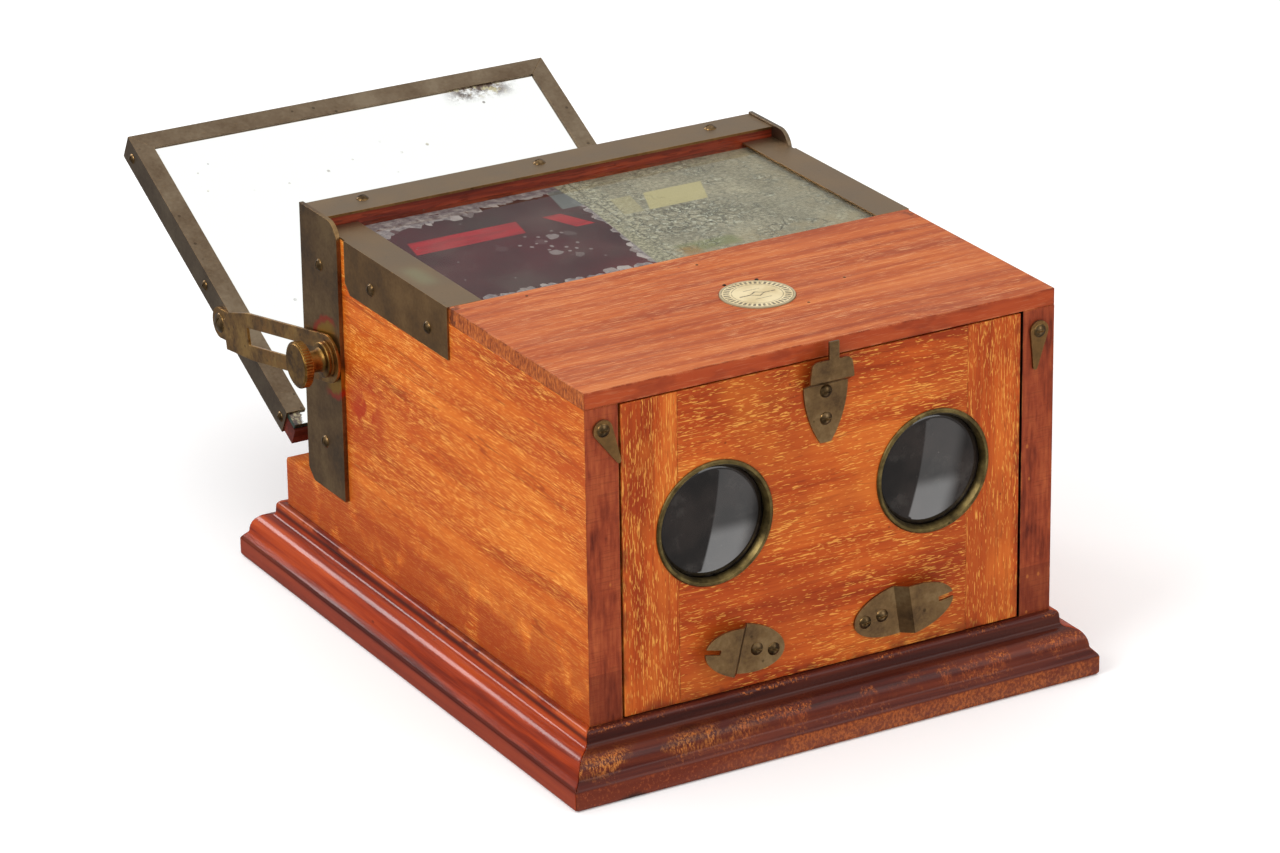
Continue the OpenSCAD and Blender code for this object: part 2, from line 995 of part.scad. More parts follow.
module mirror_board() {
    edge = mirror_half - channel_t - eps;
    color("#6b2a1a")
        mirror_frame()
            difference() {
                block([-edge, board_foot, board_back],
                      [edge, mirror_l - channel_t - eps, board_front]);
                mirror_side_places() screw_hole(shank_l);
                pivot_place()
                    translate([0, 0, -pivot_shank_l])
                        cylinder(h = pivot_shank_l + 1, r = pivot_shank_r + eps);
                hinge_board_screws() screw_hole(5.5);
            }
}

module mirror_glass() {
    edge = mirror_half - channel_t - 2 * eps;
    color("#eef1ee")
        mirror_frame()
            block([-edge, 2, board_front + eps],
                  [edge, mirror_l - channel_t - 2 * eps, glass_front]);
}

// The two lips of a channel, front and back, with one outline
module channel_lips() {
    for (f = [channel_back, channel_back + channel_depth - channel_t])
        translate([0, 0, f])
            linear_extrude(channel_t)
                children();
}

// The left channel, with its upper end mitred
module mirror_channel_side() {
    inner = mirror_half - channel_lip;
    difference() {
        union() {
            block([-mirror_half, channel_foot, channel_back],
                  [-mirror_half + channel_t, mirror_l - channel_t - 0.01,
                   channel_back + channel_depth]);
            channel_lips()
                polygon([[-mirror_half, channel_foot], [-inner, channel_foot],
                         [-inner, mirror_l - channel_lip - 0.02],
                         [-mirror_half + channel_t, mirror_l - channel_t - 0.02],
                         [-mirror_half, mirror_l - channel_t - 0.02]]);
        }
        mirror_side_places() screw_hole(1);
    }
}

module mirror_channel_left() {
    color("#63523a")
        mirror_frame()
            difference() {
                mirror_channel_side();
                pivot_place()
                    translate([0, 0, -1]) cylinder(h = 2, r = pivot_shank_r + eps);
            }
}

module mirror_channel_right() {
    color("#63523a")
        mirror_frame()
            flip(1)
                mirror_channel_side();
}

module mirror_channel_top() {
    inner = mirror_half - channel_lip;
    low = mirror_l - channel_t;
    color("#6f5e40")
        mirror_frame() {
            block([-mirror_half, low, channel_back],
                  [mirror_half, mirror_l, channel_back + channel_depth]);
            channel_lips()
                polygon([[-inner, mirror_l - channel_lip], [inner, mirror_l - channel_lip],
                         [mirror_half - channel_t, low], [mirror_half - channel_t, mirror_l],
                         [channel_t - mirror_half, mirror_l], [channel_t - mirror_half, low]]);
        }
}

module mirror_screws() {
    color("#4e4230")
        mirror_frame() {
            mirror_side_places() dome_screw(r = 2.3, h = 1.1, shank = shank_l - 1);
            hinge_board_screws() dome_screw(r = 1.9, h = 0.8, shank = 5);
        }
}

// Where the hinge screws enter the sill
module hinge_sill_screws() {
    for (x = hinge_xs)
        for (dx = [-9, 9])
            translate([x + dx, hinge_y - hinge_back + leaf_t, hinge_z - 8.5])
                rotate([-90, 0, 0])
                    children();
}

// Where the hinge screws enter the back of the mirror board
module hinge_board_screws() {
    for (x = hinge_xs)
        for (dx = [-9, 9])
            translate([x + dx, 8.5, board_back - leaf_t])
                rotate([180, 0, 0])
                    children();
}

// One half of a hinge on its pin axis: the leaf runs along +y, z is its thickness
module hinge_leaf(knuckles, low, high) {
    gap = 0.1;
    half_l = hinge_l / 2;
    difference() {
        union() {
            block([-half_l, knuckle_r + 0.4, low], [half_l, leaf_h, high]);
            for (k = knuckles) {
                x0 = (k - 0.5) * hinge_l / 3 + gap / 2;
                x1 = (k + 0.5) * hinge_l / 3 - gap / 2;
                translate([x0, 0, 0])
                    rotate([0, 90, 0])
                        cylinder(h = x1 - x0, r = knuckle_r);
                block([x0, 0, low], [x1, knuckle_r + 1, high]);
            }
        }
        translate([-half_l - 1, 0, 0])
            rotate([0, 90, 0])
                cylinder(h = 2 * half_l + 2, r = pin_r + eps);
    }
}

module hinge_fixed_leaves() {
    color("#8a7845")
        case_frame()
            difference() {
                for (x = hinge_xs)
                    translate([x, hinge_y, hinge_z])
                        rotate([-90, 0, 180])
                            hinge_leaf([-1, 1], hinge_back - leaf_t, hinge_back);
                hinge_sill_screws() screw_hole(leaf_t + 1);
            }
}

module hinge_moving_leaves() {
    color("#8a7845")
        mirror_frame()
            difference() {
                for (x = hinge_xs)
                    translate([x, 0, 0])
                        hinge_leaf([0], board_back - leaf_t, board_back);
                hinge_board_screws() screw_hole(leaf_t + 1);
            }
}

module hinge_pins() {
    color("#6f5e40")
        case_frame()
            for (x = hinge_xs)
                translate([x - hinge_l / 2, hinge_y, hinge_z])
                    rotate([0, 90, 0])
                        cylinder(h = hinge_l, r = pin_r);
}

// ---- Stay and thumb screw ----

// A slotted plate that narrows through a round corner to a round eye at its pivot
module stay_outline() {
    half = stay_w / 2;
    neck_start = 12;
    neck_low = -4.5;
    corner_x = 24.3;
    corner_r = 8;
    full_x = 40;
    difference() {
        union() {
            circle(eye_r);
            translate([corner_x, 0]) circle(corner_r);
            translate([stay_l, 0]) circle(half);
            polygon([[0, -eye_r], [neck_start, neck_low], [corner_x - 6, neck_low],
                     [corner_x, -corner_r], [full_x, -half], [stay_l, -half],
                     [stay_l, half], [full_x, half], [corner_x - corner_r, corner_r],
                     [0, eye_r]]);
        }
        circle(pivot_shank_r + eps);
        translate([stay_l, 0]) circle(slot_w / 2);
        translate([slot_rear, -slot_w / 2]) square([stay_l - slot_rear, slot_w]);
    }
}

module stay() {
    flat = eye_r + 10.5;
    color("#75633f")
        stay_frame()
            intersection() {
                side_slab(-stay_out - stay_t - 1, -eye_out + 1) stay_outline();
                translate([-eye_out, -eye_r - 0.5, 0])
                    linear_extrude(2 * stay_w, center = true)
                        rotate(90)
                            joggle(flat, 6, stay_l + stay_w, stay_out - eye_out, stay_t);
            }
}

module stay_pivot_screw() {
    reach = 2 * eps + stay_t;
    color("#4e4230")
        mirror_frame()
            pivot_place()
                translate([0, 0, reach]) {
                    dome_screw(r = 4.2, h = 1.6, shank = 0.2);
                    translate([0, 0, eps - pivot_shank_l])
                        cylinder(h = pivot_shank_l, r = pivot_shank_r);
                }
}

// A threaded boss whose flange rests on the left strip
module stay_boss() {
    color("#63523a")
        thumb_frame()
            difference() {
                union() {
                    translate([0, 0, half_w - boss_hub_l])
                        cylinder(h = boss_hub_l + strip_t + boss_t, r = boss_hub_r);
                    translate([0, 0, half_w + strip_t]) cylinder(h = boss_t, r = boss_r);
                }
                cylinder(h = 2 * half_w, r = stud_r + eps);
            }
}

module clamp_washer() {
    color("#75633f")
        thumb_frame()
            translate([0, 0, washer_out])
                difference() {
                    cylinder(h = washer_t, r = washer_r);
                    translate([0, 0, -1]) cylinder(h = washer_t + 2, r = stud_r + eps);
                }
}

// A stud, a shoulder, a waisted neck and a knurled head in one turned piece
module thumb_screw() {
    shoulder_r = 7.1;
    shoulder_h = 1.6;
    neck_h = 6.9;
    head_low = shoulder_h + neck_h;
    head_top = head_low + 3.9;
    face_r = thumb_d / 2 - 0.8;
    knurls = 48;
    knurl_h = 0.35;
    stud_end = half_w - boss_hub_l + 1 - shoulder_out;
    color("#75603a")
        thumb_frame()
            translate([0, 0, shoulder_out]) {
                rotate_extrude()
                    polygon([[0, stud_end], [stud_r, stud_end], [stud_r, 0], [shoulder_r, 0],
                             [shoulder_r, shoulder_h - 0.4],
                             [shoulder_r - 0.4, shoulder_h], [5, shoulder_h + 0.3],
                             [4.4, shoulder_h + 1.2], [4.2, head_low], [face_r, head_low],
                             [face_r, head_top - 0.3], [face_r - 0.3, head_top],
                             [0, head_top]]);
                translate([0, 0, head_low + 0.4])
                    linear_extrude(head_top - head_low - 0.9)
                        polygon([for (i = [0:2 * knurls - 1])
                            let (r = thumb_d / 2 - (i % 2) * knurl_h, a = 180 * i / knurls)
                            [r * cos(a), r * sin(a)]]);
            }
}

base_board();
base_moulding_front();
base_moulding_back();
base_moulding_left();
base_moulding_right();
side_panel_left();
side_panel_right();
rear_sill();
lid();
window_cross_bar();
rear_top_rail();
lens_panel();
panel_cleats();
focus_runners();
lens_ring_left();
lens_ring_right();
lens_left();
lens_right();
lens_retaining_rings();
top_catch();
clip_left();
clip_right();
panel_screws();
turn_button_left();
turn_button_right();
side_strip_left();
side_strip_right();
top_strip();
angle_bracket_left();
angle_bracket_right();
case_screws();
top_glass_upper();
top_glass_lower();
top_red_filter();
top_green_filter();
rear_glass_inner();
rear_glass_outer();
rear_red_filter();
rear_green_filter();
rear_glass_beads();
reflector_glass();
reflector_rails();
septum();
badge();
mirror_board();
mirror_glass();
mirror_channel_left();
mirror_channel_right();
mirror_channel_top();
mirror_screws();
hinge_fixed_leaves();
hinge_moving_leaves();
hinge_pins();
stay();
stay_pivot_screw();
stay_boss();
clamp_washer();
thumb_screw();
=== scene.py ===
"""Looks of a wooden table stereo viewer: polished wood, dark lacquered brass, aged glass."""
import math

import bmesh
import bpy
from mathutils import Matrix, Vector


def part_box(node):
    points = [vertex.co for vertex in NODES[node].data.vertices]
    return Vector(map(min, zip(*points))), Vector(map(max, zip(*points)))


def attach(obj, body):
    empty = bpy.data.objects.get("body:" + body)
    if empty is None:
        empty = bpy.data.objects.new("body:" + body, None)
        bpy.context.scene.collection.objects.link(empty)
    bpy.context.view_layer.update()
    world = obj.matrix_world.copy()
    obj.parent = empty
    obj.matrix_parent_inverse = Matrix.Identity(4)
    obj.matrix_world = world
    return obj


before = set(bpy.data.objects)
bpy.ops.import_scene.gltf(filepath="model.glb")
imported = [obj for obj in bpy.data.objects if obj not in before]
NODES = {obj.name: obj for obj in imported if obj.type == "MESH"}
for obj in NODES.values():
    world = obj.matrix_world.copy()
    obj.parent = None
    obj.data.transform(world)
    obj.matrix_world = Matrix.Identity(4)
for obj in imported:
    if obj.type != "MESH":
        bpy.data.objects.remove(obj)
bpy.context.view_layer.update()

MM = 0.001
UP = Vector((0, 0, 1))


# ---- Places, in the row frame and in millimetres, worked out from the frame ----

def low(node):
    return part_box(node)[0] / MM


def high(node):
    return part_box(node)[1] / MM


def middle(node):
    return (low(node) + high(node)) / 2


CASE_X = high("side_panel_right").x
INNER_X = low("side_panel_right").x
BASE_TOP = high("base_moulding_front").z
LID_TOP = high("lid").z
BADGE = middle("badge")
WINDOW_LOW = low("top_red_filter")
WINDOW_HIGH = high("top_green_filter")
WINDOW_X = WINDOW_HIGH.x
WINDOW_DEEP = WINDOW_HIGH.y - WINDOW_LOW.y
LID_DEEP = high("lid").y - low("lid").y
BADGE_R = high("badge").x - BADGE.x
THUMB = middle("thumb_screw")


# ---- A small language for shader nodes ----

def tint(code):
    """An sRGB colour code as a linear RGBA colour."""
    channels = [int(code[i:i + 2], 16) / 255 for i in (1, 3, 5)]
    linear = [c / 12.92 if c <= 0.04045 else ((c + 0.055) / 1.055) ** 2.4 for c in channels]
    return (*linear, 1.0)


class Wire:
    """A node output that can be added, scaled and compared like a number."""

    def __init__(self, graph, socket):
        self.graph = graph
        self.socket = socket

    def __add__(self, other):
        return self.graph.math("ADD", self, other)

    def __sub__(self, other):
        return self.graph.math("SUBTRACT", self, other)

    def __rsub__(self, other):
        return self.graph.math("SUBTRACT", other, self)

    def __mul__(self, other):
        return self.graph.math("MULTIPLY", self, other)

    def __truediv__(self, other):
        return self.graph.math("DIVIDE", self, other)

    __radd__ = __add__
    __rmul__ = __mul__

    def __abs__(self):
        return self.graph.math("ABSOLUTE", self)

    def rise(self, start, end):
        """0 before start, 1 after end, smooth between them."""
        return self.graph.span(self, start, end)

    def fall(self, start, end):
        """1 before start, 0 after end, smooth between them."""
        return self.graph.span(self, start, end, 1.0, 0.0)

    def faces(self):
        """For a part of the direction that a face looks in: 1 where that part is large."""
        return self.rise(0.6, 0.8)

    def near(self, place, reach, soft):
        """1 within reach of place, 0 beyond it."""
        return abs(self - place).fall(reach - soft, reach + soft)


class Graph:
    """Builds one material. Lengths in patterns are millimetres of the row frame."""

    def __init__(self, name):
        self.owner = bpy.data.materials.new(name)
        self.start()
        coords = self.node("ShaderNodeTexCoord")
        self.mm = self.scaled(Wire(self, coords.outputs["Object"]), (1 / MM,) * 3)
        self.x, self.y, self.z = self.split(self.mm)
        self.nx, self.ny, self.nz = self.split(Wire(self, coords.outputs["Normal"]))

    def start(self):
        self.owner.use_nodes = True
        self.tree = self.owner.node_tree
        self.tree.nodes.clear()

    def node(self, kind, inputs=None, **settings):
        made = self.tree.nodes.new(kind)
        for key, value in settings.items():
            setattr(made, key, value)
        for key, value in (inputs or {}).items():
            if isinstance(value, Wire):
                self.tree.links.new(value.socket, made.inputs[key])
            else:
                made.inputs[key].default_value = value
        return made

    def wire(self, kind, inputs=None, output=0, **settings):
        return Wire(self, self.node(kind, inputs, **settings).outputs[output])

    def math(self, operation, a, b=0.0):
        return self.wire("ShaderNodeMath", {0: a, 1: b}, operation=operation)

    def span(self, value, start, end, to_start=0.0, to_end=1.0):
        inputs = {0: value, 1: start, 2: end, 3: to_start, 4: to_end}
        return self.wire("ShaderNodeMapRange", inputs, interpolation_type="SMOOTHSTEP")

    def split(self, vector):
        made = self.node("ShaderNodeSeparateXYZ", {0: vector})
        return [Wire(self, made.outputs[i]) for i in range(3)]

    def join(self, x, y, z):
        return self.wire("ShaderNodeCombineXYZ", {0: x, 1: y, 2: z})

    def scaled(self, vector, factors):
        return self.wire("ShaderNodeVectorMath", {0: vector, 1: factors}, operation="MULTIPLY")

    def moved(self, vector, offset):
        return self.wire("ShaderNodeVectorMath", {0: vector, 1: offset}, operation="ADD")

    def noise(self, vector, size, detail, rough=0.5, warp=0.0):
        inputs = {"Vector": vector, "Scale": 1 / size, "Detail": detail, "Roughness": rough,
                  "Distortion": warp}
        return self.wire("ShaderNodeTexNoise", inputs)

    def cracks(self, vector, size):
        """The distance to the nearest border of cells of a size."""
        inputs = {"Vector": vector, "Scale": 1 / size}
        return self.wire("ShaderNodeTexVoronoi", inputs, feature="DISTANCE_TO_EDGE")

    def dots(self, vector, size, share, radius):
        """Spots of random strength: share is how many cells hold one, radius is in cells."""
        made = self.node("ShaderNodeTexVoronoi", {"Vector": vector, "Scale": 1 / size})
        chance = self.split(Wire(self, made.outputs["Color"]))[0]
        kept = chance.rise(1 - share, 1 - share + 0.05)
        return kept * Wire(self, made.outputs["Distance"]).fall(radius * 0.6, radius)

    def mix(self, share, a, b):
        return self.wire("ShaderNodeMix", {0: share, 6: a, 7: b}, 2, data_type="RGBA")

    def ramp(self, value, *stops):
        made = self.node("ShaderNodeValToRGB", {0: value})
        points = made.color_ramp.elements
        while len(points) < len(stops):
            points.new(0.5)
        for point, (place, colour) in zip(points, stops):
            point.position = place
            point.color = tint(colour)
        return Wire(self, made.outputs[0])

    def edge(self, radius, start=0.02, end=0.2):
        """1 on sharp edges and 0 away from them."""
        soft = self.wire("ShaderNodeBevel", {"Radius": radius * MM}, samples=4)
        true = self.wire("ShaderNodeNewGeometry", output=1)
        inputs = {0: soft, 1: true}
        cosine = self.wire("ShaderNodeVectorMath", inputs, output=1, operation="DOT_PRODUCT")
        return (1 - cosine).rise(start, end)

    def bump(self, height, distance):
        """Height is 0 to 1, and distance is its depth in millimetres."""
        inputs = {"Height": height, "Distance": distance * MM, "Strength": 1.0}
        return self.wire("ShaderNodeBump", inputs)

    def surface(self, colour, roughness, normal=None, **others):
        inputs = {"Base Color": colour, "Roughness": roughness}
        inputs.update({key.replace("_", " "): value for key, value in others.items()})
        if normal is not None:
            inputs["Normal"] = normal
        return self.wire("ShaderNodeBsdfPrincipled", inputs)

    def done(self, shader):
        self.node("ShaderNodeOutputMaterial", {"Surface": shader})
        return self.owner


# ---- Wood ----

PORE_START, PORE_FULL = 0.66, 0.71


def along(graph, grain):
    """The place in millimetres as (along the grain, across it, across it)."""
    x, y, z = graph.x, graph.y, graph.z
    return {"x": (x, y, z), "y": (y, x, z), "z": (z, x, y)}[grain]


class Timber:
    """Wood with its grain along one axis: broad bands, thin growth lines, fibres and dashes."""

    def __init__(self, name, grain, seed, shades, band=9.0, wave=5.0, streaky=0.22):
        self.g = Graph(name)
        self.seed = seed
        graph = self.g
        length, u, v = along(graph, grain)
        drift = graph.noise(graph.join(length / 70 + seed, u / 26, v / 26), 1, 1) - 0.5
        self.length = length
        self.u = u + drift * wave
        self.v = v + drift * wave
        bands = self.noise(150, band, 3)
        streak = self.noise(55, 1.9, 2)
        self.fibre = self.noise(15, 0.5, 2)
        tone = bands * (0.9 - streaky) + streak * streaky + self.fibre * 0.1
        self.colour = graph.ramp(tone, *zip((0.36, 0.46, 0.54, 0.64), shades))

    def place(self, long, wide, shift):
        return self.g.join(self.length / long + self.seed + shift, self.u / wide,
                           self.v / wide + shift)

    def noise(self, long, wide, detail, shift=0.0):
        return self.g.noise(self.place(long, wide, shift), 1, detail, 0.55)

    def pores(self, long, wide, share, shift=0.0):
        """Thin dashes along the grain; a larger share, which may be a wire, gives more."""
        height = self.g.noise(self.place(long, wide, shift), 1, 1, 0.5)
        return (height + share).rise(PORE_START, PORE_FULL)

    def lines(self, long, wide, thin, shift=0.0):
        """Dark growth lines that run with the grain and wander a little."""
        return abs(self.noise(long, wide, 1, shift) - 0.5).fall(thin * 0.3, thin)

    def clusters(self, long, wide, start, end):
        return self.noise(long, wide, 2, 31.0).rise(start, end)

    def stain(self, share, colour):
        self.colour = self.g.mix(share, self.colour, tint(colour))

    def golden(self, colour, amount, sizes, cluster, dense, dark="#6a220c"):
        """Light pores that crowd together in places, in two sizes, and some dark pores."""
        share = self.clusters(*cluster) * dense
        (long_a, wide_a), (long_b, wide_b) = sizes
        self.stain(self.pores(long_a * 1.3, wide_a, share * 0.4, 21.0) * 0.4, dark)
        self.marks = self.g.math("MAXIMUM", self.pores(long_a, wide_a, share, 3.0),
                                 self.pores(long_b, wide_b, share * 0.9, 11.0))
        self.stain(self.marks * amount, colour)

    def age(self, dirt, wear, amount, reach, specks=0.5):
        """Grime and wear along the edges, and a few small dark dents."""
        graph = self.g
        edge = graph.edge(reach)
        patchy = graph.noise(graph.mm, 9, 4, 0.65)
        self.stain(edge * patchy.rise(0.46, 0.62) * amount, wear)
        self.stain(edge * patchy.fall(0.42, 0.56) * amount * 1.2, dirt)
        self.stain(graph.dots(graph.mm, 7, 0.16, 0.09) * specks, dirt)

    def varnish(self, roughness, shine, depth=0.05, pits=0.6):
        """shine is how much the varnish reflects, and depth is how uneven it is."""
        graph = self.g
        rough = graph.noise(graph.mm, 22, 3) * 0.22 + self.fibre * 0.1 + (roughness - 0.16)
        height = self.fibre * 0.5
        if hasattr(self, "marks"):
            height = height - self.marks * pits
        normal = graph.bump(height, depth)
        return graph.done(graph.surface(self.colour, rough, normal, Specular_IOR_Level=shine))


def front_wood(name, grain, seed):
    """The front panel and its cleats: red-orange wood full of golden pores."""
    wood = Timber(name, grain, seed, ("#8f330c", "#ab4514", "#bd561c", "#cc6a26"), 10.0)
    g = wood.g
    wood.stain(g.noise(g.mm, 42, 3).fall(0.36, 0.56) * 0.45, "#8f3210")
    wood.stain(g.noise(g.moved(g.mm, (0, 0, 77)), 34, 2).rise(0.52, 0.7) * 0.4, "#cf7026")
    wood.golden("#e8a44a", 0.72, ((5.6, 0.52), (3.4, 0.46)), (46, 17, 0.36, 0.64), 0.055)
    wood.stain(wood.lines(110, 5.0, 0.014) * 0.25, "#7a260c")
    # Darker, in patches, towards the sides and the bottom of the panel.
    rim_x = abs(g.x).rise(CASE_X - 19, CASE_X - 14.5)
    rim_z = (g.z - BASE_TOP).fall(0.5, 6)
    rim_darkening = g.math("MAXIMUM", rim_x, rim_z) * g.noise(g.mm, 8, 3).rise(0.4, 0.65)
    wood.stain(rim_darkening * 0.65, "#5a1f10")
    wood.age("#4a1c0e", "#d88a3c", 0.5, 0.8)
    return wood.varnish(0.42, 0.12, 0.06)


def side_wood():
    """The orange side panels: fine golden streaks, dark front stiles, blackened inside."""
    wood = Timber("side_wood", "y", 3.0, ("#9c3f0d", "#b34f12", "#c36019", "#d07124"), 11.0,
                  3.0, 0.1)
    g = wood.g
    wood.stain(g.noise(g.mm, 50, 3).fall(0.36, 0.54) * 0.4, "#b04a18")
    wood.golden("#f2b052", 0.7, ((8, 0.26), (5, 0.23)), (60, 17, 0.3, 0.56), 0.06, "#943a0e")
    wood.stain(wood.lines(320, 7.0, 0.005) * 0.6, "#8a3409")
    wood.stain(wood.lines(120, 3.4, 0.012, 5.0) * wood.clusters(80, 20, 0.45, 0.6) * 0.35,
               "#98390c")
    smudge_y = g.y.near(THUMB.y - 24, 15, 10)
    smudge_z = (g.z + g.y * 0.25).near(THUMB.z - 2, 10, 9)
    smudge = smudge_y * smudge_z * g.noise(g.mm, 10, 3, 0.6, 0.6).rise(0.4, 0.58)
    wood.stain(smudge * 0.9, "#a02c0c")
    # Darker, in patches, towards the bottom of the side.
    low_darkening = (g.z - BASE_TOP).fall(4, 46) * g.noise(g.mm, 14, 3).rise(0.3, 0.5)
    wood.stain(low_darkening * 0.75, "#96390f")
    is_stile = (g.ny * -1).faces()
    cross = g.noise(g.scaled(g.mm, (1, 1, 0.12)), 1.4, 3)
    blotch = g.noise(g.scaled(g.mm, (1, 1, 0.5)), 9, 4, 0.6)
    stile = g.ramp(cross * 0.4 + blotch * 0.6, (0.34, "#5a2114"), (0.5, "#8c3c22"),
                   (0.66, "#a8532e"))
    block = (g.z - BASE_TOP).fall(19.6, 20.0)
    stile = g.mix(block * 0.4, stile, tint("#5a2416"))
    saw_marks = g.noise(g.scaled(g.mm, (0.06, 1, 1.6)), 1, 2).rise(0.54, 0.62)
    stile = g.mix(saw_marks * blotch.rise(0.4, 0.6) * 0.25, stile, tint("#4c1c12"))
    stile = g.mix(g.dots(g.scaled(g.mm, (1, 1, 0.7)), 6, 0.3, 0.12) * 0.8, stile,
                  tint("#b06430"))
    wood.colour = g.mix(is_stile, wood.colour, stile)
    inside = (g.nx * g.x * -1).rise(20, 60) * g.y.fall(75, 90)
    wood.stain(inside, "#120c0a")
    wood.age("#5a2410", "#dd8a44", 0.4, 0.8, 0.6)
    return wood.varnish(0.4, 0.1, 0.04, 0.4)


def lid_wood():
    """Wood with a painted pale sheen on top, redder on the front edge, brown end grain at the
    sides.
    """
    wood = Timber("lid_wood", "x", 14.0, ("#943f1a", "#a84d20", "#b85c28", "#c87038"), 6.0)
    g = wood.g
    wood.golden("#e2a06c", 0.6, ((12, 0.42), (7, 0.36)), (70, 18, 0.34, 0.6), 0.045, "#8a3c1c")
    wood.stain(wood.lines(150, 6.0, 0.014) * 0.35, "#8f3f20")
    # Painted sheen: paler pink on the upward faces, in patches.
    top_sheen = g.nz.rise(0.6, 0.9) * g.noise(g.mm, 55, 3).rise(0.4, 0.62)
    wood.stain(top_sheen * 0.12, "#bd7450")
    front = (g.ny * -1).faces()
    wood.stain(front * 0.8, "#a03c18")
    wood.stain(front * g.noise(g.scaled(g.mm, (0.3, 1, 1)), 5, 3).rise(0.45, 0.62) * 0.5,
               "#7a2c14")
    end = abs(g.nx).faces()
    end_grain = g.ramp(g.noise(g.scaled(g.mm, (1, 1, 0.4)), 1.1, 3, 0.7),
                       (0.36, "#6c2d0f"), (0.5, "#984a19"), (0.62, "#b76526"))
    wood.colour = g.mix(end * 0.9, wood.colour, end_grain)
    corner = abs(g.x).rise(CASE_X - 7, CASE_X - 1) * g.y.rise(-34, -26)
    wood.stain(corner * g.noise(g.mm, 3, 3).rise(0.5, 0.6) * 0.7, "#42180c")
    wood.age("#5a2010", "#cf8256", 0.8, 1.5, 0.55)
    return wood.varnish(0.42, 0.16, 0.04, 0.4)


def base_wood(name, grain, seed, worn):
    """Glossy red mahogany. worn is 0 where it is well kept and 1 where rubbed and stained."""
    stripped = worn > 0.5
    if stripped:
        shades = ("#34130d", "#4c1d15", "#5e281a", "#6c3020")
    else:
        shades = ("#4e1206", "#782308", "#983410", "#b2481a")
    wood = Timber(name, grain, seed, shades, 7.0, 3.0)
    g = wood.g
    height = g.z - BASE_TOP
    slab = height.fall(-18.0, -17.2)
    wood.stain(slab * 0.7, "#6e2c18" if stripped else "#7c2f1b")
    ridge = height.near(-8.6, 1.3, 1.0) + height.near(-14.0, 2.2, 2.0) * 0.6
    lip = height.near(-0.9, 0.8, 0.5)
    fine = g.noise(g.scaled(g.mm, (1.0, 1.0, 0.7)), 1.1, 4, 0.75)
    patch = g.noise(g.mm, 15, 3, 0.6)
    corner = (g.x + CASE_X).fall(24, 84)
    if stripped:
        specks = fine.rise(0.52, 0.6)
        rubbed = (ridge + lip) * patch.rise(0.44, 0.6) * specks
        wood.stain(rubbed * 0.85, "#b8652c")
        strokes = g.noise(g.scaled(g.mm, (1, 1, 0.28)), 0.8, 4, 0.75).rise(0.46, 0.58)
        belly = height.near(-10.6, 2.6, 3.0) * strokes
        wood.stain(belly * corner * patch.rise(0.42, 0.56) * 0.85, "#d0813c")
        wood.stain(belly * corner.fall(0.2, 0.8) * patch.rise(0.46, 0.6) * 0.6, "#a5522a")
        bare = slab * g.x.rise(-CASE_X * 0.7, -CASE_X * 0.1) * patch.rise(0.3, 0.5)
        wood.stain(bare * (fine.rise(0.42, 0.6) * 0.6 + 0.12), "#b05f26")
        wood.stain(slab * fine.rise(0.54, 0.62) * 0.5, "#a24f28")
        black = g.dots(g.scaled(g.mm, (0.45, 1, 1)), 13, 0.2, 0.3)
        wood.stain(black * 0.8, "#1c0d0a")
        # Painted shade: a dark band in the cove below the top fillet.
        wood.stain(height.near(-4.4, 2.6, 1.2) * 0.55, "#2a100c")
    else:
        # Painted shade: dark lines in the grooves of the moulding.
        groove_shade = height.near(-17.0, 0.8, 0.5) + height.near(-3.2, 0.8, 0.6)
        wood.stain(groove_shade * 0.75, "#2e0c07")
        wood.stain(g.dots(g.scaled(g.mm, (1, 0.5, 1)), 11, 0.25, 0.1) * 0.7, "#2a0c08")
        # A lighter line along the edge of the top fillet, in patches: rubbed wear and a painted
        # highlight.
        rubbed = lip * patch.rise(0.4, 0.6) * 0.5
        wood.stain(rubbed, "#c8642e")
    wood.age("#2a0f0a", "#c4683a", 0.45, 0.7)
    dull = slab * 0.14 + rubbed * 0.2 + worn * 0.08
    rough = g.noise(g.mm, 16, 3) * 0.16 + dull + 0.12
    bumps = wood.fibre * 0.2 + g.noise(g.mm, 8, 2) * 0.9 - rubbed * 0.4
    shader = g.surface(wood.colour, rough, g.bump(bumps, 0.1), Specular_IOR_Level=0.12,
                       Coat_Weight=0.16 - worn * 0.08, Coat_Roughness=0.05)
    return g.done(shader)


def plain_wood(name, seed, shades, roughness=0.42, shine=0.2):
    """Dark polished wood with its grain along x, for the parts behind and below."""
    wood = Timber(name, "x", seed, shades, 5.0)
    wood.stain(wood.pores(6, 0.6, 0.08) * 0.6, shades[0])
    wood.stain(wood.lines(90, 3.0, 0.02) * 0.4, shades[0])
    wood.age(shades[0], shades[3], 0.6, 0.7)
    return wood.varnish(roughness, shine)


def blackened():
    """Matt black paint over wood, with grain showing through."""
    wood = Timber("blackened_wood", "y", 2.0, ("#0c0908", "#120d0b", "#18110d", "#221812"))
    return wood.varnish(0.75, 0.2)


# ---- Brass ----

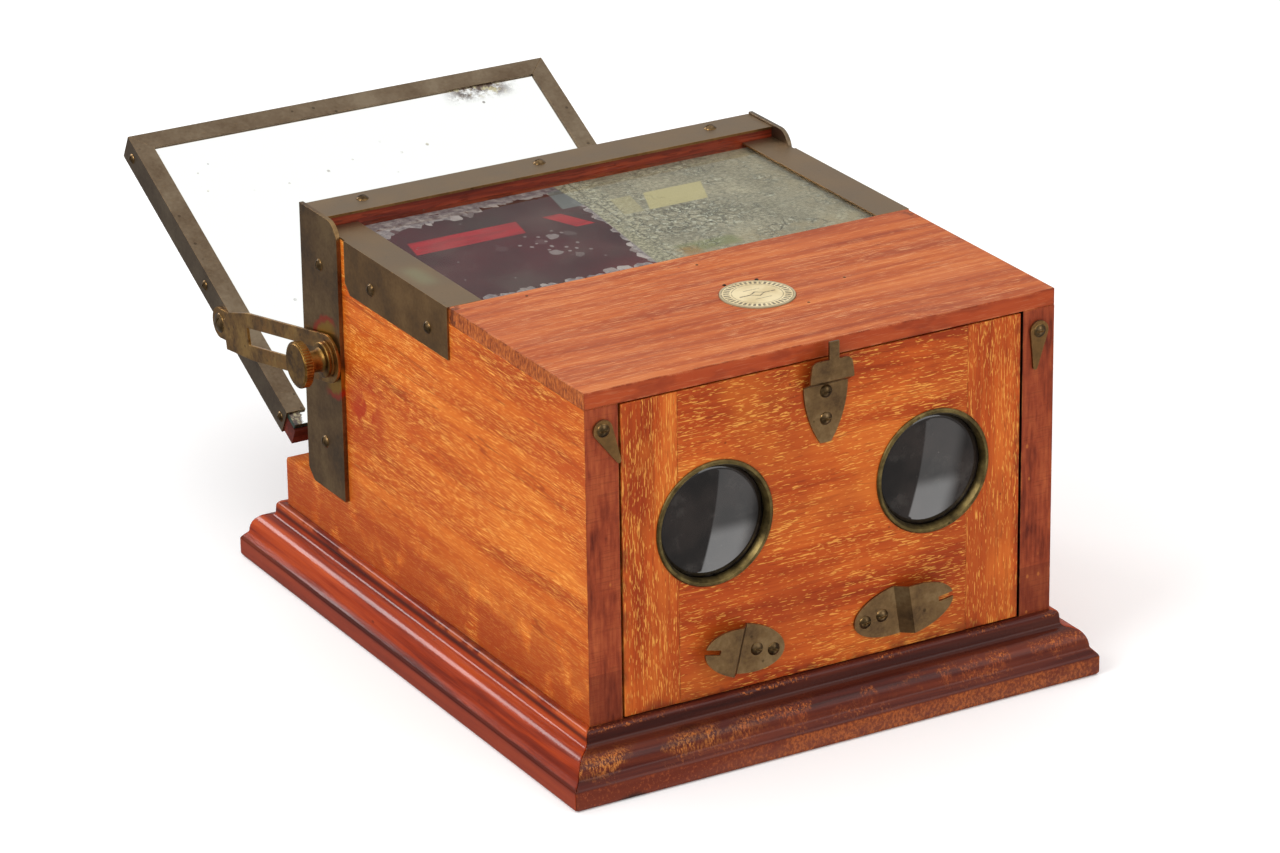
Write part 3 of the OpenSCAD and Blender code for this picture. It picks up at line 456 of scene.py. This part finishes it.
def brass(name, shades, worn="#b0854a", wear=0.5, rough=0.36, size=14.0, brush=(1, 1, 1),
          extra=None):
    """Dark lacquered brass: cloudy tarnish, fine brushing, bright rubbed edges."""
    g = Graph(name)
    cloud = g.noise(g.mm, size, 4, 0.6)
    fine = g.noise(g.mm, 1.6, 3, 0.6)
    colour = g.ramp(cloud * 0.75 + fine * 0.25, *zip((0.36, 0.5, 0.64), shades))
    lines = g.noise(g.scaled(g.mm, tuple(b * 2.2 for b in brush)), 1, 2, 0.6)
    scratch = g.noise(g.scaled(g.mm, (0.25, 2.8, 2.8)), 1, 1, 0.5, 0.4).rise(0.68, 0.74)
    stain = g.dots(g.mm, 4.5, 0.22, 0.2)
    colour = g.mix(stain * 0.5, colour, tint("#1d160f"))
    edge = g.edge(0.5, 0.03, 0.28)
    rub = edge * (fine * 0.5 + cloud * 0.5).rise(0.38, 0.56)
    colour = g.mix(rub * wear, colour, tint(worn))
    colour = g.mix(scratch * 0.14, colour, tint(worn))
    if extra:
        colour = extra(g, colour)
    roughness = cloud * 0.24 + lines * 0.12 + (rough - 0.16) - rub * 0.1
    normal = g.bump(lines * 0.35 + fine * 0.3 - stain * 0.8, 0.03)
    return g.done(g.surface(colour, roughness, normal, Metallic=0.93))


def strip_stain(g, colour):
    """Gold and red lacquer left bare above and below the boss of the thumb screw."""
    dy = g.y - THUMB.y
    dz = g.z - THUMB.z
    radius = g.math("SQRT", dy * dy + dz * dz)
    ways = abs((dy * 0.5 + dz * 0.86) / radius).rise(0.55, 0.9)
    ragged = g.noise(g.mm, 4, 3) * 5
    gold = (radius + ragged).fall(15, 19) * ways
    red = (radius + ragged).near(17.8, 1.2, 1.0) * ways
    colour = g.mix(gold * 0.8, colour, tint("#b58628"))
    return g.mix(red * 0.85, colour, tint("#b8402c"))


def bracket_top(g, colour):
    """The upward faces are greyer, and pale green where something lay on the left one."""
    colour = g.mix(g.nz.rise(0.7, 0.9) * 0.75, colour, tint("#8a765c"))
    spot = g.x.near(-CASE_X + 6, 3.5, 3) * g.y.near(WINDOW_HIGH.y - 66, 9, 5)
    return g.mix(spot * g.nz.rise(0.7, 0.9) * 0.4, colour, tint("#9aa07c"))


def slot_rub(g, colour):
    """Lacquer rubbed off the stay where the thumb screw slides."""
    worn = g.noise(g.mm, 5, 4, 0.65).rise(0.46, 0.62)
    reach = g.y.fall(THUMB.y + 60, THUMB.y + 74)
    return g.mix(worn * reach * 0.5, colour, tint("#a8763c"))


# ---- Glass, filters and the rest ----

CLEAR = "#f4f5f2"
PANE_INDEX = 1.18
PANE_HAZE = 0.04
PANE_DUST = 0.35


def pane(name, colour):
    """A sheet that reflects from its outer side, with dust and a faint colour."""
    g = Graph(name)
    film = g.noise(g.mm, 30, 5, 0.6).rise(0.4, 0.75)
    specks = g.dots(g.mm, 2.2, 0.05, 0.2)
    clear = g.wire("ShaderNodeBsdfTransparent", {0: tint(colour)})
    shine = g.wire("ShaderNodeBsdfAnisotropic", {"Color": tint("#ffffff"),
                                                 "Roughness": film * 0.08 + 0.02})
    back = g.wire("ShaderNodeNewGeometry", output="Backfacing")
    fresnel = g.wire("ShaderNodeFresnel", {"IOR": PANE_INDEX}) * (1 - back)
    sheet = g.wire("ShaderNodeMixShader", {0: fresnel, 1: clear, 2: shine})
    dirt = g.wire("ShaderNodeBsdfDiffuse", {"Color": tint("#b8b8a8")})
    share = film * PANE_HAZE + specks * PANE_DUST
    return g.done(g.wire("ShaderNodeMixShader", {0: share, 1: sheet, 2: dirt}))


def lens_material():
    """Glossy glass, dark with painted shade and the blackened inside of the case behind it."""
    g = Graph("lens_glass")
    smear = g.noise(g.mm, 9, 4, 0.6).rise(0.5, 0.8)
    specks = g.dots(g.mm, 2.4, 0.04, 0.16)
    # Painted shade: the dark colour stands for the blackened, unlit inside of the case seen
    # through the glass.
    depth = g.ramp(g.noise(g.mm, 16, 2), (0.35, "#171311"), (0.65, "#2b2421"))
    colour = g.mix(smear * 0.1 + specks * 0.4, depth, tint("#9a948c"))
    return g.done(g.surface(colour, smear * 0.05 + 0.02, Specular_IOR_Level=0.62))


class Sheet:
    """Where a shader is on a window: x across it, and back from its far or upper edge."""

    def __init__(self, graph, upright):
        self.g = graph
        self.x = graph.x * -1 if upright else graph.x
        self.y = graph.z if upright else graph.y
        self.end = WINDOW_HIGH.y
        if upright:
            self.y = self.y + (WINDOW_HIGH.y - high("rear_red_filter").z)
        self.back = (self.y * -1) + self.end
        self.front = self.y - WINDOW_LOW.y
        self.flat = graph.join(self.x, self.y, 0.0)

    def patch(self, x, back, across, deep, slant=0.0, soft=0.4):
        """1 in a slanted rectangle, given by its middle and size, and 0 outside it."""
        behind = self.back - back
        sideways = self.x - x - behind * slant
        return sideways.near(0, across / 2, soft) * behind.near(0, deep / 2, soft)

    def petals(self, size, stretch, shift, keep, radius, share=1.0):
        """Flakes in a share of cells size wide and size x stretch long, where keep allows."""
        g = self.g
        place = g.join(self.x, self.y / stretch, 0.0)
        inputs = {"Vector": g.moved(place, (shift, shift, 0)), "Scale": 1 / size}
        made = g.node("ShaderNodeTexVoronoi", inputs, voronoi_dimensions="2D")
        cell_x, cell_y, _ = g.split(Wire(g, made.outputs["Position"]))
        wanted = keep(cell_x - shift, (cell_y - shift) * stretch)
        if share < 1:
            wanted = wanted * g.split(Wire(g, made.outputs["Color"]))[0].fall(share - 0.02, share)
        ragged = g.noise(self.flat, 2.2, 2) * 0.28 - 0.14
        return wanted * (Wire(g, made.outputs["Distance"]) + ragged).fall(radius - 0.05, radius)


def division(back):
    """x of the line between the red and the green filter, which slants a little."""
    return back * -0.12 + 3.6


def red_filter(name, upright=False):
    """Dark red gelatine: loose in scalloped flakes along its edges, crimson where it is lit."""
    g = Graph(name)
    sheet = Sheet(g, upright)
    back, front = sheet.back, sheet.front

    def rim(x, y):
        rear = (y * -1) + sheet.end
        lid = y - WINDOW_LOW.y
        left = x + (CASE_X - 6)
        deep = x.fall(-60, -18) * 6 + 5.5
        far = (rear - deep).fall(-0.5, 0.5)
        corner = (rear + left).fall(28, 30)
        near = lid.fall(6.0, 7.0)
        centre = (x - division(rear)).rise(-2.0, -1.0)
        sides = g.math("MAXIMUM", near, centre)
        return g.math("MAXIMUM", g.math("MAXIMUM", far, corner), sides)

    loose = g.math("MAXIMUM", sheet.petals(4.6, 1.5, 0.0, rim, 0.66),
                   sheet.petals(3.0, 1.4, 57.0, rim, 0.6))
    edge = g.math("MAXIMUM", back.fall(2.5, 3.2), front.fall(1.6, 2.4))
    beyond = (sheet.x - division(back)).rise(-0.6, 0.2)
    edge = g.math("MAXIMUM", edge, (sheet.x + (CASE_X - 9)).fall(2, 3.5))
    loose = g.math("MAXIMUM", loose, g.math("MAXIMUM", edge, beyond))
    body = g.ramp(g.noise(sheet.flat, 40, 3), (0.36, "#360914"), (0.64, "#52101f"))
    body = g.mix(front.fall(3, 26) * sheet.x.rise(-46, -20) * 0.7, body, tint("#6a1020"))
    body = g.mix(back.rise(50, 80) * sheet.x.fall(-50, -30) * 0.35, body, tint("#5a3438"))
    if not upright:
        wave = g.noise(g.scaled(sheet.flat, (0.2, 1, 1)), 4, 2).rise(0.42, 0.56) * 0.25
        bar = sheet.patch(-WINDOW_X * 0.6, WINDOW_DEEP / 3, WINDOW_X / 2, 13, -0.2)
        flame = sheet.patch(-WINDOW_X / 7, WINDOW_DEEP * 0.36, 8, 16, 0.4)
        lit = g.math("MAXIMUM", bar, flame) * (1 - wave)
        body = g.mix(lit, body, tint("#b00c24"))

    def scatter(x, y):
        rear = (y * -1) + sheet.end
        return x.near(-35, 14, 3) * rear.near(57, 14, 3)

    flakes = sheet.petals(8.0, 1.1, 13.0, scatter, 0.34, 0.35) * 0.9
    tiny = sheet.petals(3.6, 1.2, 91.0, scatter, 0.22, 0.4)
    spots = g.dots(sheet.flat, 3.4, 0.1, 0.16) * front.rise(8, 14)
    flakes = g.math("MAXIMUM", flakes, g.math("MAXIMUM", tiny, spots))
    pale = g.ramp(g.noise(sheet.flat, 3.2, 4, 0.65), (0.34, "#6a5c64"), (0.5, "#93868c"),
                  (0.66, "#b8adae"))
    colour = g.mix(loose, body, pale)
    # Painted highlight: a pale rim along the edges of the loose flakes.
    colour = g.mix(loose * (1 - loose) * 3.0, colour, tint("#d0c2c4"))
    colour = g.mix(flakes * 0.85, colour, tint("#9a8d90"))
    crumbs = g.noise(sheet.flat, 1.7, 4, 0.75)
    beige = g.ramp(crumbs, (0.38, "#77705f"), (0.5, "#9a9480"), (0.6, "#c4bda6"))
    colour = g.mix(beyond, colour, beige)
    if not upright:
        tape = sheet.patch(-3, WINDOW_DEEP / 7, 9, 20, -0.2)
        colour = g.mix(tape * 0.9, colour, tint("#6f7274"))
    return g.done(g.surface(colour, 0.5, g.bump(loose, 0.08), Specular_IOR_Level=0.1))


def green_filter(name, upright=False):
    """Faded green gelatine: grey, crazed and wrinkled, with pale lit patches."""
    g = Graph(name)
    sheet = Sheet(g, upright)
    back, front, x = sheet.back, sheet.front, sheet.x
    base = g.ramp(g.noise(sheet.flat, 26, 4, 0.6), (0.34, "#8a8270"), (0.5, "#9f9684"),
                  (0.66, "#b9ae98"))
    rows = g.noise(g.scaled(sheet.flat, (1.0, 0.25, 1)), 1.3, 2)
    base = g.mix(rows.rise(0.4, 0.7) * 0.3, base, tint("#b8b29d"))
    crumpled = g.noise(sheet.flat, 1.7, 4, 0.75)
    base = g.mix(crumpled.fall(0.4, 0.52) * 0.5, base, tint("#5e594a"))
    base = g.mix(crumpled.rise(0.54, 0.62) * 0.35, base, tint("#d0cbb8"))
    beige = g.math("MAXIMUM", front.fall(10, 22), x.rise(60, 84) * 0.6)
    base = g.mix(beige * g.noise(sheet.flat, 7, 3).rise(0.36, 0.6) * 0.7, base, tint("#a8987c"))
    moss = sheet.patch(WINDOW_X / 5, WINDOW_DEEP * 0.87, 26, 9, soft=2.0)
    base = g.mix(moss * 0.6, base, tint("#78824a"))
    rust = sheet.patch(WINDOW_X / 10, WINDOW_DEEP * 0.9, 8, 9, soft=2.0)
    base = g.mix(rust * 0.6, base, tint("#a8742e"))
    seam = (x - division(back)).fall(9, 15)
    base = g.mix(seam * crumpled.rise(0.44, 0.58) * 0.8, base, tint("#c4bda6"))
    line = (x - division(back) - back * 0.06).near(3.0, 0.35, 0.3)
    base = g.mix(line * 0.6, base, tint("#5b5546"))
    warped = g.noise(sheet.flat, 2.8, 4, 0.75, 1.6)
    middle_zone = x.near(26, 24, 12) * back.near(58, 16, 10)
    zone = g.math("MAXIMUM", middle_zone, g.noise(sheet.flat, 16, 3).rise(0.48, 0.62) * 0.7)
    zone = g.math("MAXIMUM", zone, seam * 0.7)
    # Painted shade in the creases and painted highlights on the ridges of the wrinkles.
    crease = g.cracks(sheet.flat, 4.6).fall(0.04, 0.16)
    crease = crease * warped.rise(0.42, 0.54) * zone
    base = g.mix(crease * 0.9, base, tint("#2c2b22"))
    base = g.mix(warped.rise(0.53, 0.6) * zone * 0.9, base, tint("#dcdacb"))
    if not upright:
        cream = sheet.patch(WINDOW_X * 0.38, WINDOW_DEEP / 3, 26, 18, -0.4)
        faint = sheet.patch(WINDOW_X * 0.15, WINDOW_DEEP / 3, 9, 18, -0.2) * 0.5
        base = g.mix(g.math("MAXIMUM", cream, faint) * 0.85, base, tint("#cdbf90"))
    height = warped * zone - crease
    return g.done(g.surface(base, 0.45, g.bump(height, 0.2), Specular_IOR_Level=0.15))


def mirror_material():
    """Silver on the face, foxed along its edges, and the dark green glass at its sides."""
    g = Graph("mirror_silver")
    lean = mirror_lean()
    side = INNER_X + 8 - abs(g.x)
    up = g.y * math.cos(lean) + g.z * math.sin(lean)
    top = MIRROR_TOP - up
    rim = g.math("MINIMUM", side, top)
    cloud = g.noise(g.mm, 9, 5, 0.7)
    eaten = (rim - cloud * 16).fall(-6.5, -4.5)
    patch = top.fall(12, 18) * g.x.near(62, 13, 6) * cloud.rise(0.4, 0.55)
    specks = g.dots(g.mm, 3.2, 0.05, 0.3) * g.noise(g.mm, 22, 2).rise(0.5, 0.62)
    foxed = g.math("MAXIMUM", eaten, g.math("MAXIMUM", patch, specks))
    silver = g.surface(tint("#eef0ee"), cloud.rise(0.6, 0.8) * 0.05 + 0.02, Metallic=1.0)
    stain = g.ramp(g.noise(g.mm, 4, 4, 0.7), (0.35, "#2b1d1a"), (0.5, "#5d4a3e"),
                   (0.62, "#b8b08a"))
    bare = g.surface(stain, 0.25)
    face = g.wire("ShaderNodeMixShader", {0: foxed, 1: silver, 2: bare})
    facing = (g.nz * math.cos(lean) - g.ny * math.sin(lean)).rise(0.8, 0.9)
    sides = g.surface(g.ramp(cloud, (0.4, "#16211b"), (0.6, "#2c3d33")), 0.3)
    return g.done(g.wire("ShaderNodeMixShader", {0: facing, 1: sides, 2: face}))


def ground_glass():
    g = Graph("ground_glass")
    cloud = g.noise(g.mm, 26, 4, 0.6)
    colour = g.ramp(cloud, (0.3, "#b2b8ae"), (0.7, "#c2c8be"))
    grit = g.noise(g.mm, 0.5, 2)
    return g.done(g.surface(colour, 0.5 + cloud * 0.2, g.bump(grit, 0.03)))


def ivory():
    """An ivory-like plate printed with a plain ring of ticks and a small ornament."""
    g = Graph("ivory")
    dx = g.x - BADGE.x
    dy = g.y - BADGE.y
    radius = g.math("SQRT", dx * dx + dy * dy)
    angle = g.math("ARCTAN2", dy, dx) * (40 / (2 * math.pi))
    tick = abs(g.math("FRACT", angle + 40) - 0.5).rise(0.2, 0.26)
    ring = radius.near(11.6, 1.15, 0.1) * tick
    lines = radius.near(9.6, 0.12, 0.06) + radius.near(13.4, 0.14, 0.06)
    diamond = (abs(dx) * 0.7 + abs(dy)).near(2.1, 0.35, 0.1)
    bars = abs(dx).near(5.4, 2.2, 0.1) * abs(dy).near(0.0, 0.4, 0.08)
    rules = abs(dy).near(4.6, 0.18, 0.07) * abs(dx).fall(3.4, 3.6)
    ink = g.math("MAXIMUM", ring, lines)
    ink = g.math("MAXIMUM", ink, g.math("MAXIMUM", diamond, g.math("MAXIMUM", bars, rules)))
    worn = g.noise(g.mm, 1.4, 4, 0.7).rise(0.3, 0.5)
    base = g.ramp(g.noise(g.mm, 7, 4), (0.35, "#cdb889"), (0.65, "#e2d0a4"))
    base = g.mix(radius.rise(12.9, 14.2) * 0.8, base, tint("#8f8468"))
    colour = g.mix(g.math("MINIMUM", ink, 1.0) * worn * 0.85, base, tint("#3c2c20"))
    return g.done(g.surface(colour, 0.38, g.bump(g.noise(g.mm, 2, 3), 0.03)))


# ---- Finishing the CAD nodes ----

FLAT_DEGREES = 0.4
SHARP_DEGREES = 32
WELD_MM = 0.002


def smooth_group():
    """Welds split vertices and shades every face smooth, so that bevels read as round."""
    tree = bpy.data.node_groups.new("weld_and_smooth", "GeometryNodeTree")
    tree.interface.new_socket("Geometry", in_out="INPUT", socket_type="NodeSocketGeometry")
    tree.interface.new_socket("Geometry", in_out="OUTPUT", socket_type="NodeSocketGeometry")
    steps = [tree.nodes.new(kind) for kind in (
        "NodeGroupInput", "GeometryNodeMergeByDistance", "GeometryNodeRemoveAttribute",
        "GeometryNodeSetShadeSmooth", "GeometryNodeSetShadeSmooth", "NodeGroupOutput")]
    steps[1].inputs["Distance"].default_value = WELD_MM * MM
    steps[2].inputs["Name"].default_value = "custom_normal"
    steps[3].domain = "FACE"
    steps[4].domain = "EDGE"
    for before, after in zip(steps, steps[1:]):
        tree.links.new(before.outputs[0], after.inputs[0])
    return tree


def soften(node, width):
    """Rounds a CAD node's edges by width millimetres, without changing its own mesh."""
    piece = NODES[node]
    weld = piece.modifiers.new("weld", "NODES")
    weld.node_group = SMOOTH
    flat = piece.modifiers.new("flat", "DECIMATE")
    flat.decimate_type = "DISSOLVE"
    flat.angle_limit = math.radians(FLAT_DEGREES)
    bevel = piece.modifiers.new("bevel", "BEVEL")
    bevel.width = width * MM
    bevel.segments = 2
    bevel.limit_method = "ANGLE"
    bevel.angle_limit = math.radians(SHARP_DEGREES)
    bevel.harden_normals = False
    normals = piece.modifiers.new("normals", "WEIGHTED_NORMAL")
    normals.weight = 90
    normals.keep_sharp = False


def finish_node(node, material, width):
    """Gives a node its material, and rounds its edges if it has a width to round by."""
    piece = NODES[node]
    for slot in piece.material_slots:
        slot.link = "OBJECT"
        slot.material = material
    if width:
        soften(node, width)
    elif node.startswith("lens_"):
        piece.modifiers.new("weld", "NODES").node_group = SMOOTH


def mirror_lean():
    """How far the open mirror leans up from lying flat, in radians."""
    low_corner, high_corner = low("mirror_glass"), high("mirror_glass")
    return math.atan2(high_corner.z - low_corner.z, high_corner.y - low_corner.y)


MIRROR_TOP = (high("mirror_glass").y * math.cos(mirror_lean())
              + high("mirror_glass").z * math.sin(mirror_lean()))
SMOOTH = smooth_group()

SIDE = side_wood()
DARK_BRASS = brass("fitting_brass", ("#5c4630", "#7d6140", "#957a55"))
STRIP_BRASS = brass("strip_brass", ("#57432d", "#765a3a", "#8c714d"), size=22,
                    brush=(1, 1, 0.05), extra=strip_stain)
FRAME_BRASS = brass("frame_brass", ("#6c5030", "#84623a", "#98754a"), wear=0.6, size=20,
                    extra=bracket_top)
CHANNEL_BRASS = brass("channel_brass", ("#5f4e3c", "#70604d", "#7f705c"), size=20)
STAY_BRASS = brass("stay_brass", ("#684c2a", "#926c3a", "#b28c50"), wear=0.7, size=9,
                   extra=slot_rub)
KNOB_BRASS = brass("knob_brass", ("#553a1c", "#82602f", "#a07a40"), "#d8a550", wear=0.9,
                   size=5)
RING_BRASS = brass("lens_brass", ("#4a3f26", "#6a5a36", "#8a784a"), "#b5a468", wear=0.55,
                   size=6)
SCREW_BRASS = brass("screw_brass", ("#3a2c1c", "#5e4a30", "#80684a"), wear=0.8, size=3,
                    rough=0.3)
HINGE_BRASS = brass("hinge_brass", ("#4a3c1a", "#6f5c2c", "#8a7440"), wear=0.6)
MIRROR_WOOD = plain_wood("mirror_wood", 21.0, ("#3a120c", "#4e1a12", "#5e2418", "#6f3024"))
RAIL_WOOD = plain_wood("rail_wood", 17.0, ("#541a0e", "#7c2c18", "#9c4022", "#b4562e"),
                       0.3, 0.3)
SILL_WOOD = plain_wood("sill_wood", 25.0, ("#5a1c0c", "#7c2c14", "#96401c", "#aa5026"))
BOARD_WOOD = plain_wood("base_board", 30.0, ("#3a1208", "#4c1a0c", "#5e2412", "#74301a"))
BLACK = blackened()

LOOKS = {
    "lid": (lid_wood(), 1.1),
    "lens_panel": (front_wood("panel_wood", "x", 5.0), 0.25),
    "panel_cleats": (front_wood("cleat_wood", "z", 11.0), 0.25),
    "side_panel_left": (SIDE, 0.4),
    "side_panel_right": (SIDE, 0.4),
    "base_moulding_front": (base_wood("base_front", "x", 1.0, 1.0), 0.9),
    "base_moulding_back": (base_wood("base_back", "x", 4.0, 0.35), 0.9),
    "base_moulding_left": (base_wood("base_left", "y", 6.0, 0.12), 0.9),
    "base_moulding_right": (base_wood("base_right", "y", 8.0, 0.3), 0.9),
    "base_board": (BOARD_WOOD, 0.4),
    "rear_sill": (SILL_WOOD, 0.4),
    "window_cross_bar": (RAIL_WOOD, 0.3),
    "rear_top_rail": (RAIL_WOOD, 0.3),
    "rear_glass_beads": (SILL_WOOD, 0.4),
    "mirror_board": (MIRROR_WOOD, 0.4),
    "focus_runners": (BLACK, 0.3),
    "septum": (BLACK, 0.0),
    "reflector_rails": (BLACK, 0.3),
    "lens_ring_left": (RING_BRASS, 0.15),
    "lens_ring_right": (RING_BRASS, 0.15),
    "lens_retaining_rings": (SCREW_BRASS, 0.15),
    "top_catch": (DARK_BRASS, 0.2),
    "clip_left": (DARK_BRASS, 0.2),
    "clip_right": (DARK_BRASS, 0.2),
    "turn_button_left": (FRAME_BRASS, 0.2),
    "turn_button_right": (FRAME_BRASS, 0.2),
    "side_strip_left": (STRIP_BRASS, 0.3),
    "side_strip_right": (CHANNEL_BRASS, 0.3),
    "top_strip": (FRAME_BRASS, 0.25),
    "angle_bracket_left": (FRAME_BRASS, 0.25),
    "angle_bracket_right": (FRAME_BRASS, 0.25),
    "mirror_channel_left": (CHANNEL_BRASS, 0.2),
    "mirror_channel_right": (CHANNEL_BRASS, 0.2),
    "mirror_channel_top": (CHANNEL_BRASS, 0.2),
    "hinge_fixed_leaves": (HINGE_BRASS, 0.15),
    "hinge_moving_leaves": (HINGE_BRASS, 0.15),
    "hinge_pins": (HINGE_BRASS, 0.1),
    "stay": (STAY_BRASS, 0.2),
    "stay_boss": (KNOB_BRASS, 0.15),
    "clamp_washer": (STAY_BRASS, 0.15),
    "thumb_screw": (KNOB_BRASS, 0.15),
    "stay_pivot_screw": (SCREW_BRASS, 0.12),
    "panel_screws": (SCREW_BRASS, 0.1),
    "case_screws": (SCREW_BRASS, 0.1),
    "mirror_screws": (SCREW_BRASS, 0.1),
    "badge": (ivory(), 0.15),
    "lens_left": (lens_material(), 0.0),
    "lens_right": (lens_material(), 0.0),
    "top_glass_upper": (pane("window_glass", CLEAR), 0.0),
    "top_glass_lower": (pane("lower_glass", CLEAR), 0.0),
    "top_red_filter": (red_filter("red_filter"), 0.0),
    "top_green_filter": (green_filter("green_filter"), 0.0),
    "rear_glass_inner": (pane("rear_clear_glass", CLEAR), 0.0),
    "rear_glass_outer": (ground_glass(), 0.2),
    "rear_red_filter": (red_filter("rear_red", True), 0.0),
    "rear_green_filter": (green_filter("rear_green", True), 0.0),
    "reflector_glass": (pane("reflector", "#e6eeea"), 0.0),
    "mirror_glass": (mirror_material(), 0.2),
}
for node, (material, width) in LOOKS.items():
    finish_node(node, material, width)
left_out = sorted(set(NODES) - set(LOOKS))
if left_out:
    raise SystemExit(f"nodes without a look: {left_out}")


# ---- Small fittings that only show ----

def dome(name, places, radius, height, material, body):
    """Small domed nail heads, their flat sides on the given places."""
    sides = 20
    rings = 4
    angles = [2 * math.pi * i / sides for i in range(sides)]
    shape = bmesh.new()
    for place in places:
        loops = []
        for ring in range(rings):
            turn = ring / rings * math.pi / 2
            r, h = radius * math.cos(turn), height * math.sin(turn)
            around = [Vector((r * math.cos(a), r * math.sin(a), h)) for a in angles]
            loops.append([shape.verts.new((place + offset) * MM) for offset in around])
        for below, above in zip(loops, loops[1:]):
            for i in range(sides):
                j = (i + 1) % sides
                shape.faces.new((below[i], below[j], above[j], above[i]))
        shape.faces.new(loops[-1])
        shape.faces.new(list(reversed(loops[0])))
    mesh = bpy.data.meshes.new(name)
    shape.to_mesh(mesh)
    shape.free()
    mesh.shade_smooth()
    piece = bpy.data.objects.new(name, mesh)
    bpy.context.scene.collection.objects.link(piece)
    mesh.materials.append(material)
    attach(piece, body)


def on_lid(across, back):
    """A place on the lid, in shares of its half width and of its depth from the front."""
    return Vector((CASE_X * across, low("lid").y + LID_DEEP * back, LID_TOP))


def round_badge(degrees, gap):
    """A place on the lid outside the badge's rim, turned from the right hand side."""
    turn = math.radians(degrees)
    reach = BADGE_R + gap
    return Vector((BADGE.x + reach * math.cos(turn), BADGE.y + reach * math.sin(turn), LID_TOP))


NAIL = brass("nail_iron", ("#17120f", "#2a211c", "#40342c"), wear=0.2, size=1.5, rough=0.5)
dome("badge_pins", [round_badge(60, 1.5), round_badge(110, 1.5)], 0.8, 0.4, NAIL, "case")
dome("lid_nails", [on_lid(-0.7, 0.95), on_lid(0.0, 0.9), on_lid(0.4, 0.5), on_lid(0.15, 0.35)],
     0.6, 0.12, NAIL, "case")


# ---- Stage: floor, world, lights and camera ----

FLOOR_WHITE = 0.93
LIT_PLACE = Vector((0, 0, 0.08))
GLOW_LEFT = 30.3, 30.8
GLOW_RIGHT = 37, 42
CAMERA_PLACE = (-0.9658, -1.6822, 0.8692)
FOCAL_MM = 153.1
SENSOR_MM = 36


def stage():
    """A pale floor, left out of shiny reflections so that the sky can shape them."""
    bpy.ops.mesh.primitive_plane_add(size=6.0, location=(0, 0, 0))
    floor = bpy.context.object
    floor.name = "floor"
    floor.visible_glossy = False
    g = Graph("floor_paper")
    paper = g.noise(g.mm, 400, 2) * 0.01 + FLOOR_WHITE
    shade = g.surface(g.join(paper, paper, paper), 0.9, Emission_Color=(1, 1, 1, 1),
                      Emission_Strength=0.12)
    floor.data.materials.append(g.done(shade))


class Sky(Graph):
    """A world: x, y and z are the direction that is looked in."""

    def __init__(self, name):
        self.owner = bpy.data.worlds.new(name)
        self.start()
        coords = self.node("ShaderNodeTexCoord")
        self.x, self.y, self.z = self.split(Wire(self, coords.outputs["Generated"]))

    def done(self, colour, strength):
        light = self.wire("ShaderNodeBackground", {0: colour, 1: strength})
        self.node("ShaderNodeOutputWorld", {"Surface": light})
        return self.owner


def sky():
    """Bright overhead, dim low down, and a glow between two headings for the lenses."""
    g = Sky("studio")
    strength = g.z.rise(0.0, 0.1) * 0.28 + g.z.rise(0.45, 0.85) * 0.6 + 0.3
    heading = g.math("ARCTAN2", g.x, g.y * -1) * (180 / math.pi)
    band = heading.rise(*GLOW_LEFT) * heading.fall(*GLOW_RIGHT) * g.z.fall(-0.08, -0.02)
    glow = band * (g.z.fall(-0.44, -0.4) * 2.1 + 1.1)
    strength = g.math("MAXIMUM", strength, glow)
    seen = g.wire("ShaderNodeLightPath", output="Is Camera Ray")
    strength = strength * (1 - seen) + seen * FLOOR_WHITE
    bpy.context.scene.world = g.done((1, 0.996, 0.99, 1), strength)


def softbox(name, place, width, height, power):
    """A white lamp of a width and height in metres that points at the middle of the case."""
    light = bpy.data.lights.new(name, "AREA")
    light.shape = "RECTANGLE"
    light.size = width
    light.size_y = height
    light.energy = power
    lamp = bpy.data.objects.new(name, light)
    lamp.location = place
    lamp.rotation_euler = (LIT_PLACE - Vector(place)).to_track_quat("-Z", "Y").to_euler()
    bpy.context.scene.collection.objects.link(lamp)


def camera():
    """A long lens, high on the left of the front, turned slightly about its own axis."""
    heading = math.radians(29.68)
    tilt = math.radians(-22.17)
    roll = math.radians(-0.8)
    lens = bpy.data.cameras.new("camera")
    lens.lens = FOCAL_MM
    lens.sensor_width = SENSOR_MM
    forward = Vector((math.sin(heading) * math.cos(tilt), math.cos(heading) * math.cos(tilt),
                      math.sin(tilt)))
    right = forward.cross(UP).normalized()
    upward = right.cross(forward)
    side = right * math.cos(roll) + upward * math.sin(roll)
    top = upward * math.cos(roll) - right * math.sin(roll)
    holder = bpy.data.objects.new("camera", lens)
    turn = Matrix((side, top, -forward)).transposed().to_4x4()
    holder.matrix_world = Matrix.Translation(CAMERA_PLACE) @ turn
    bpy.context.scene.collection.objects.link(holder)
    bpy.context.scene.camera = holder


stage()
sky()
softbox("key", (-1.6, -0.5, 1.3), 0.9, 0.9, 15)
softbox("fill", (0.9, -1.7, 0.9), 0.9, 0.9, 6)
softbox("rim", (-0.75, 1.6, 0.95), 0.4, 0.6, 8)
camera()
bpy.context.scene.view_settings.view_transform = "Standard"
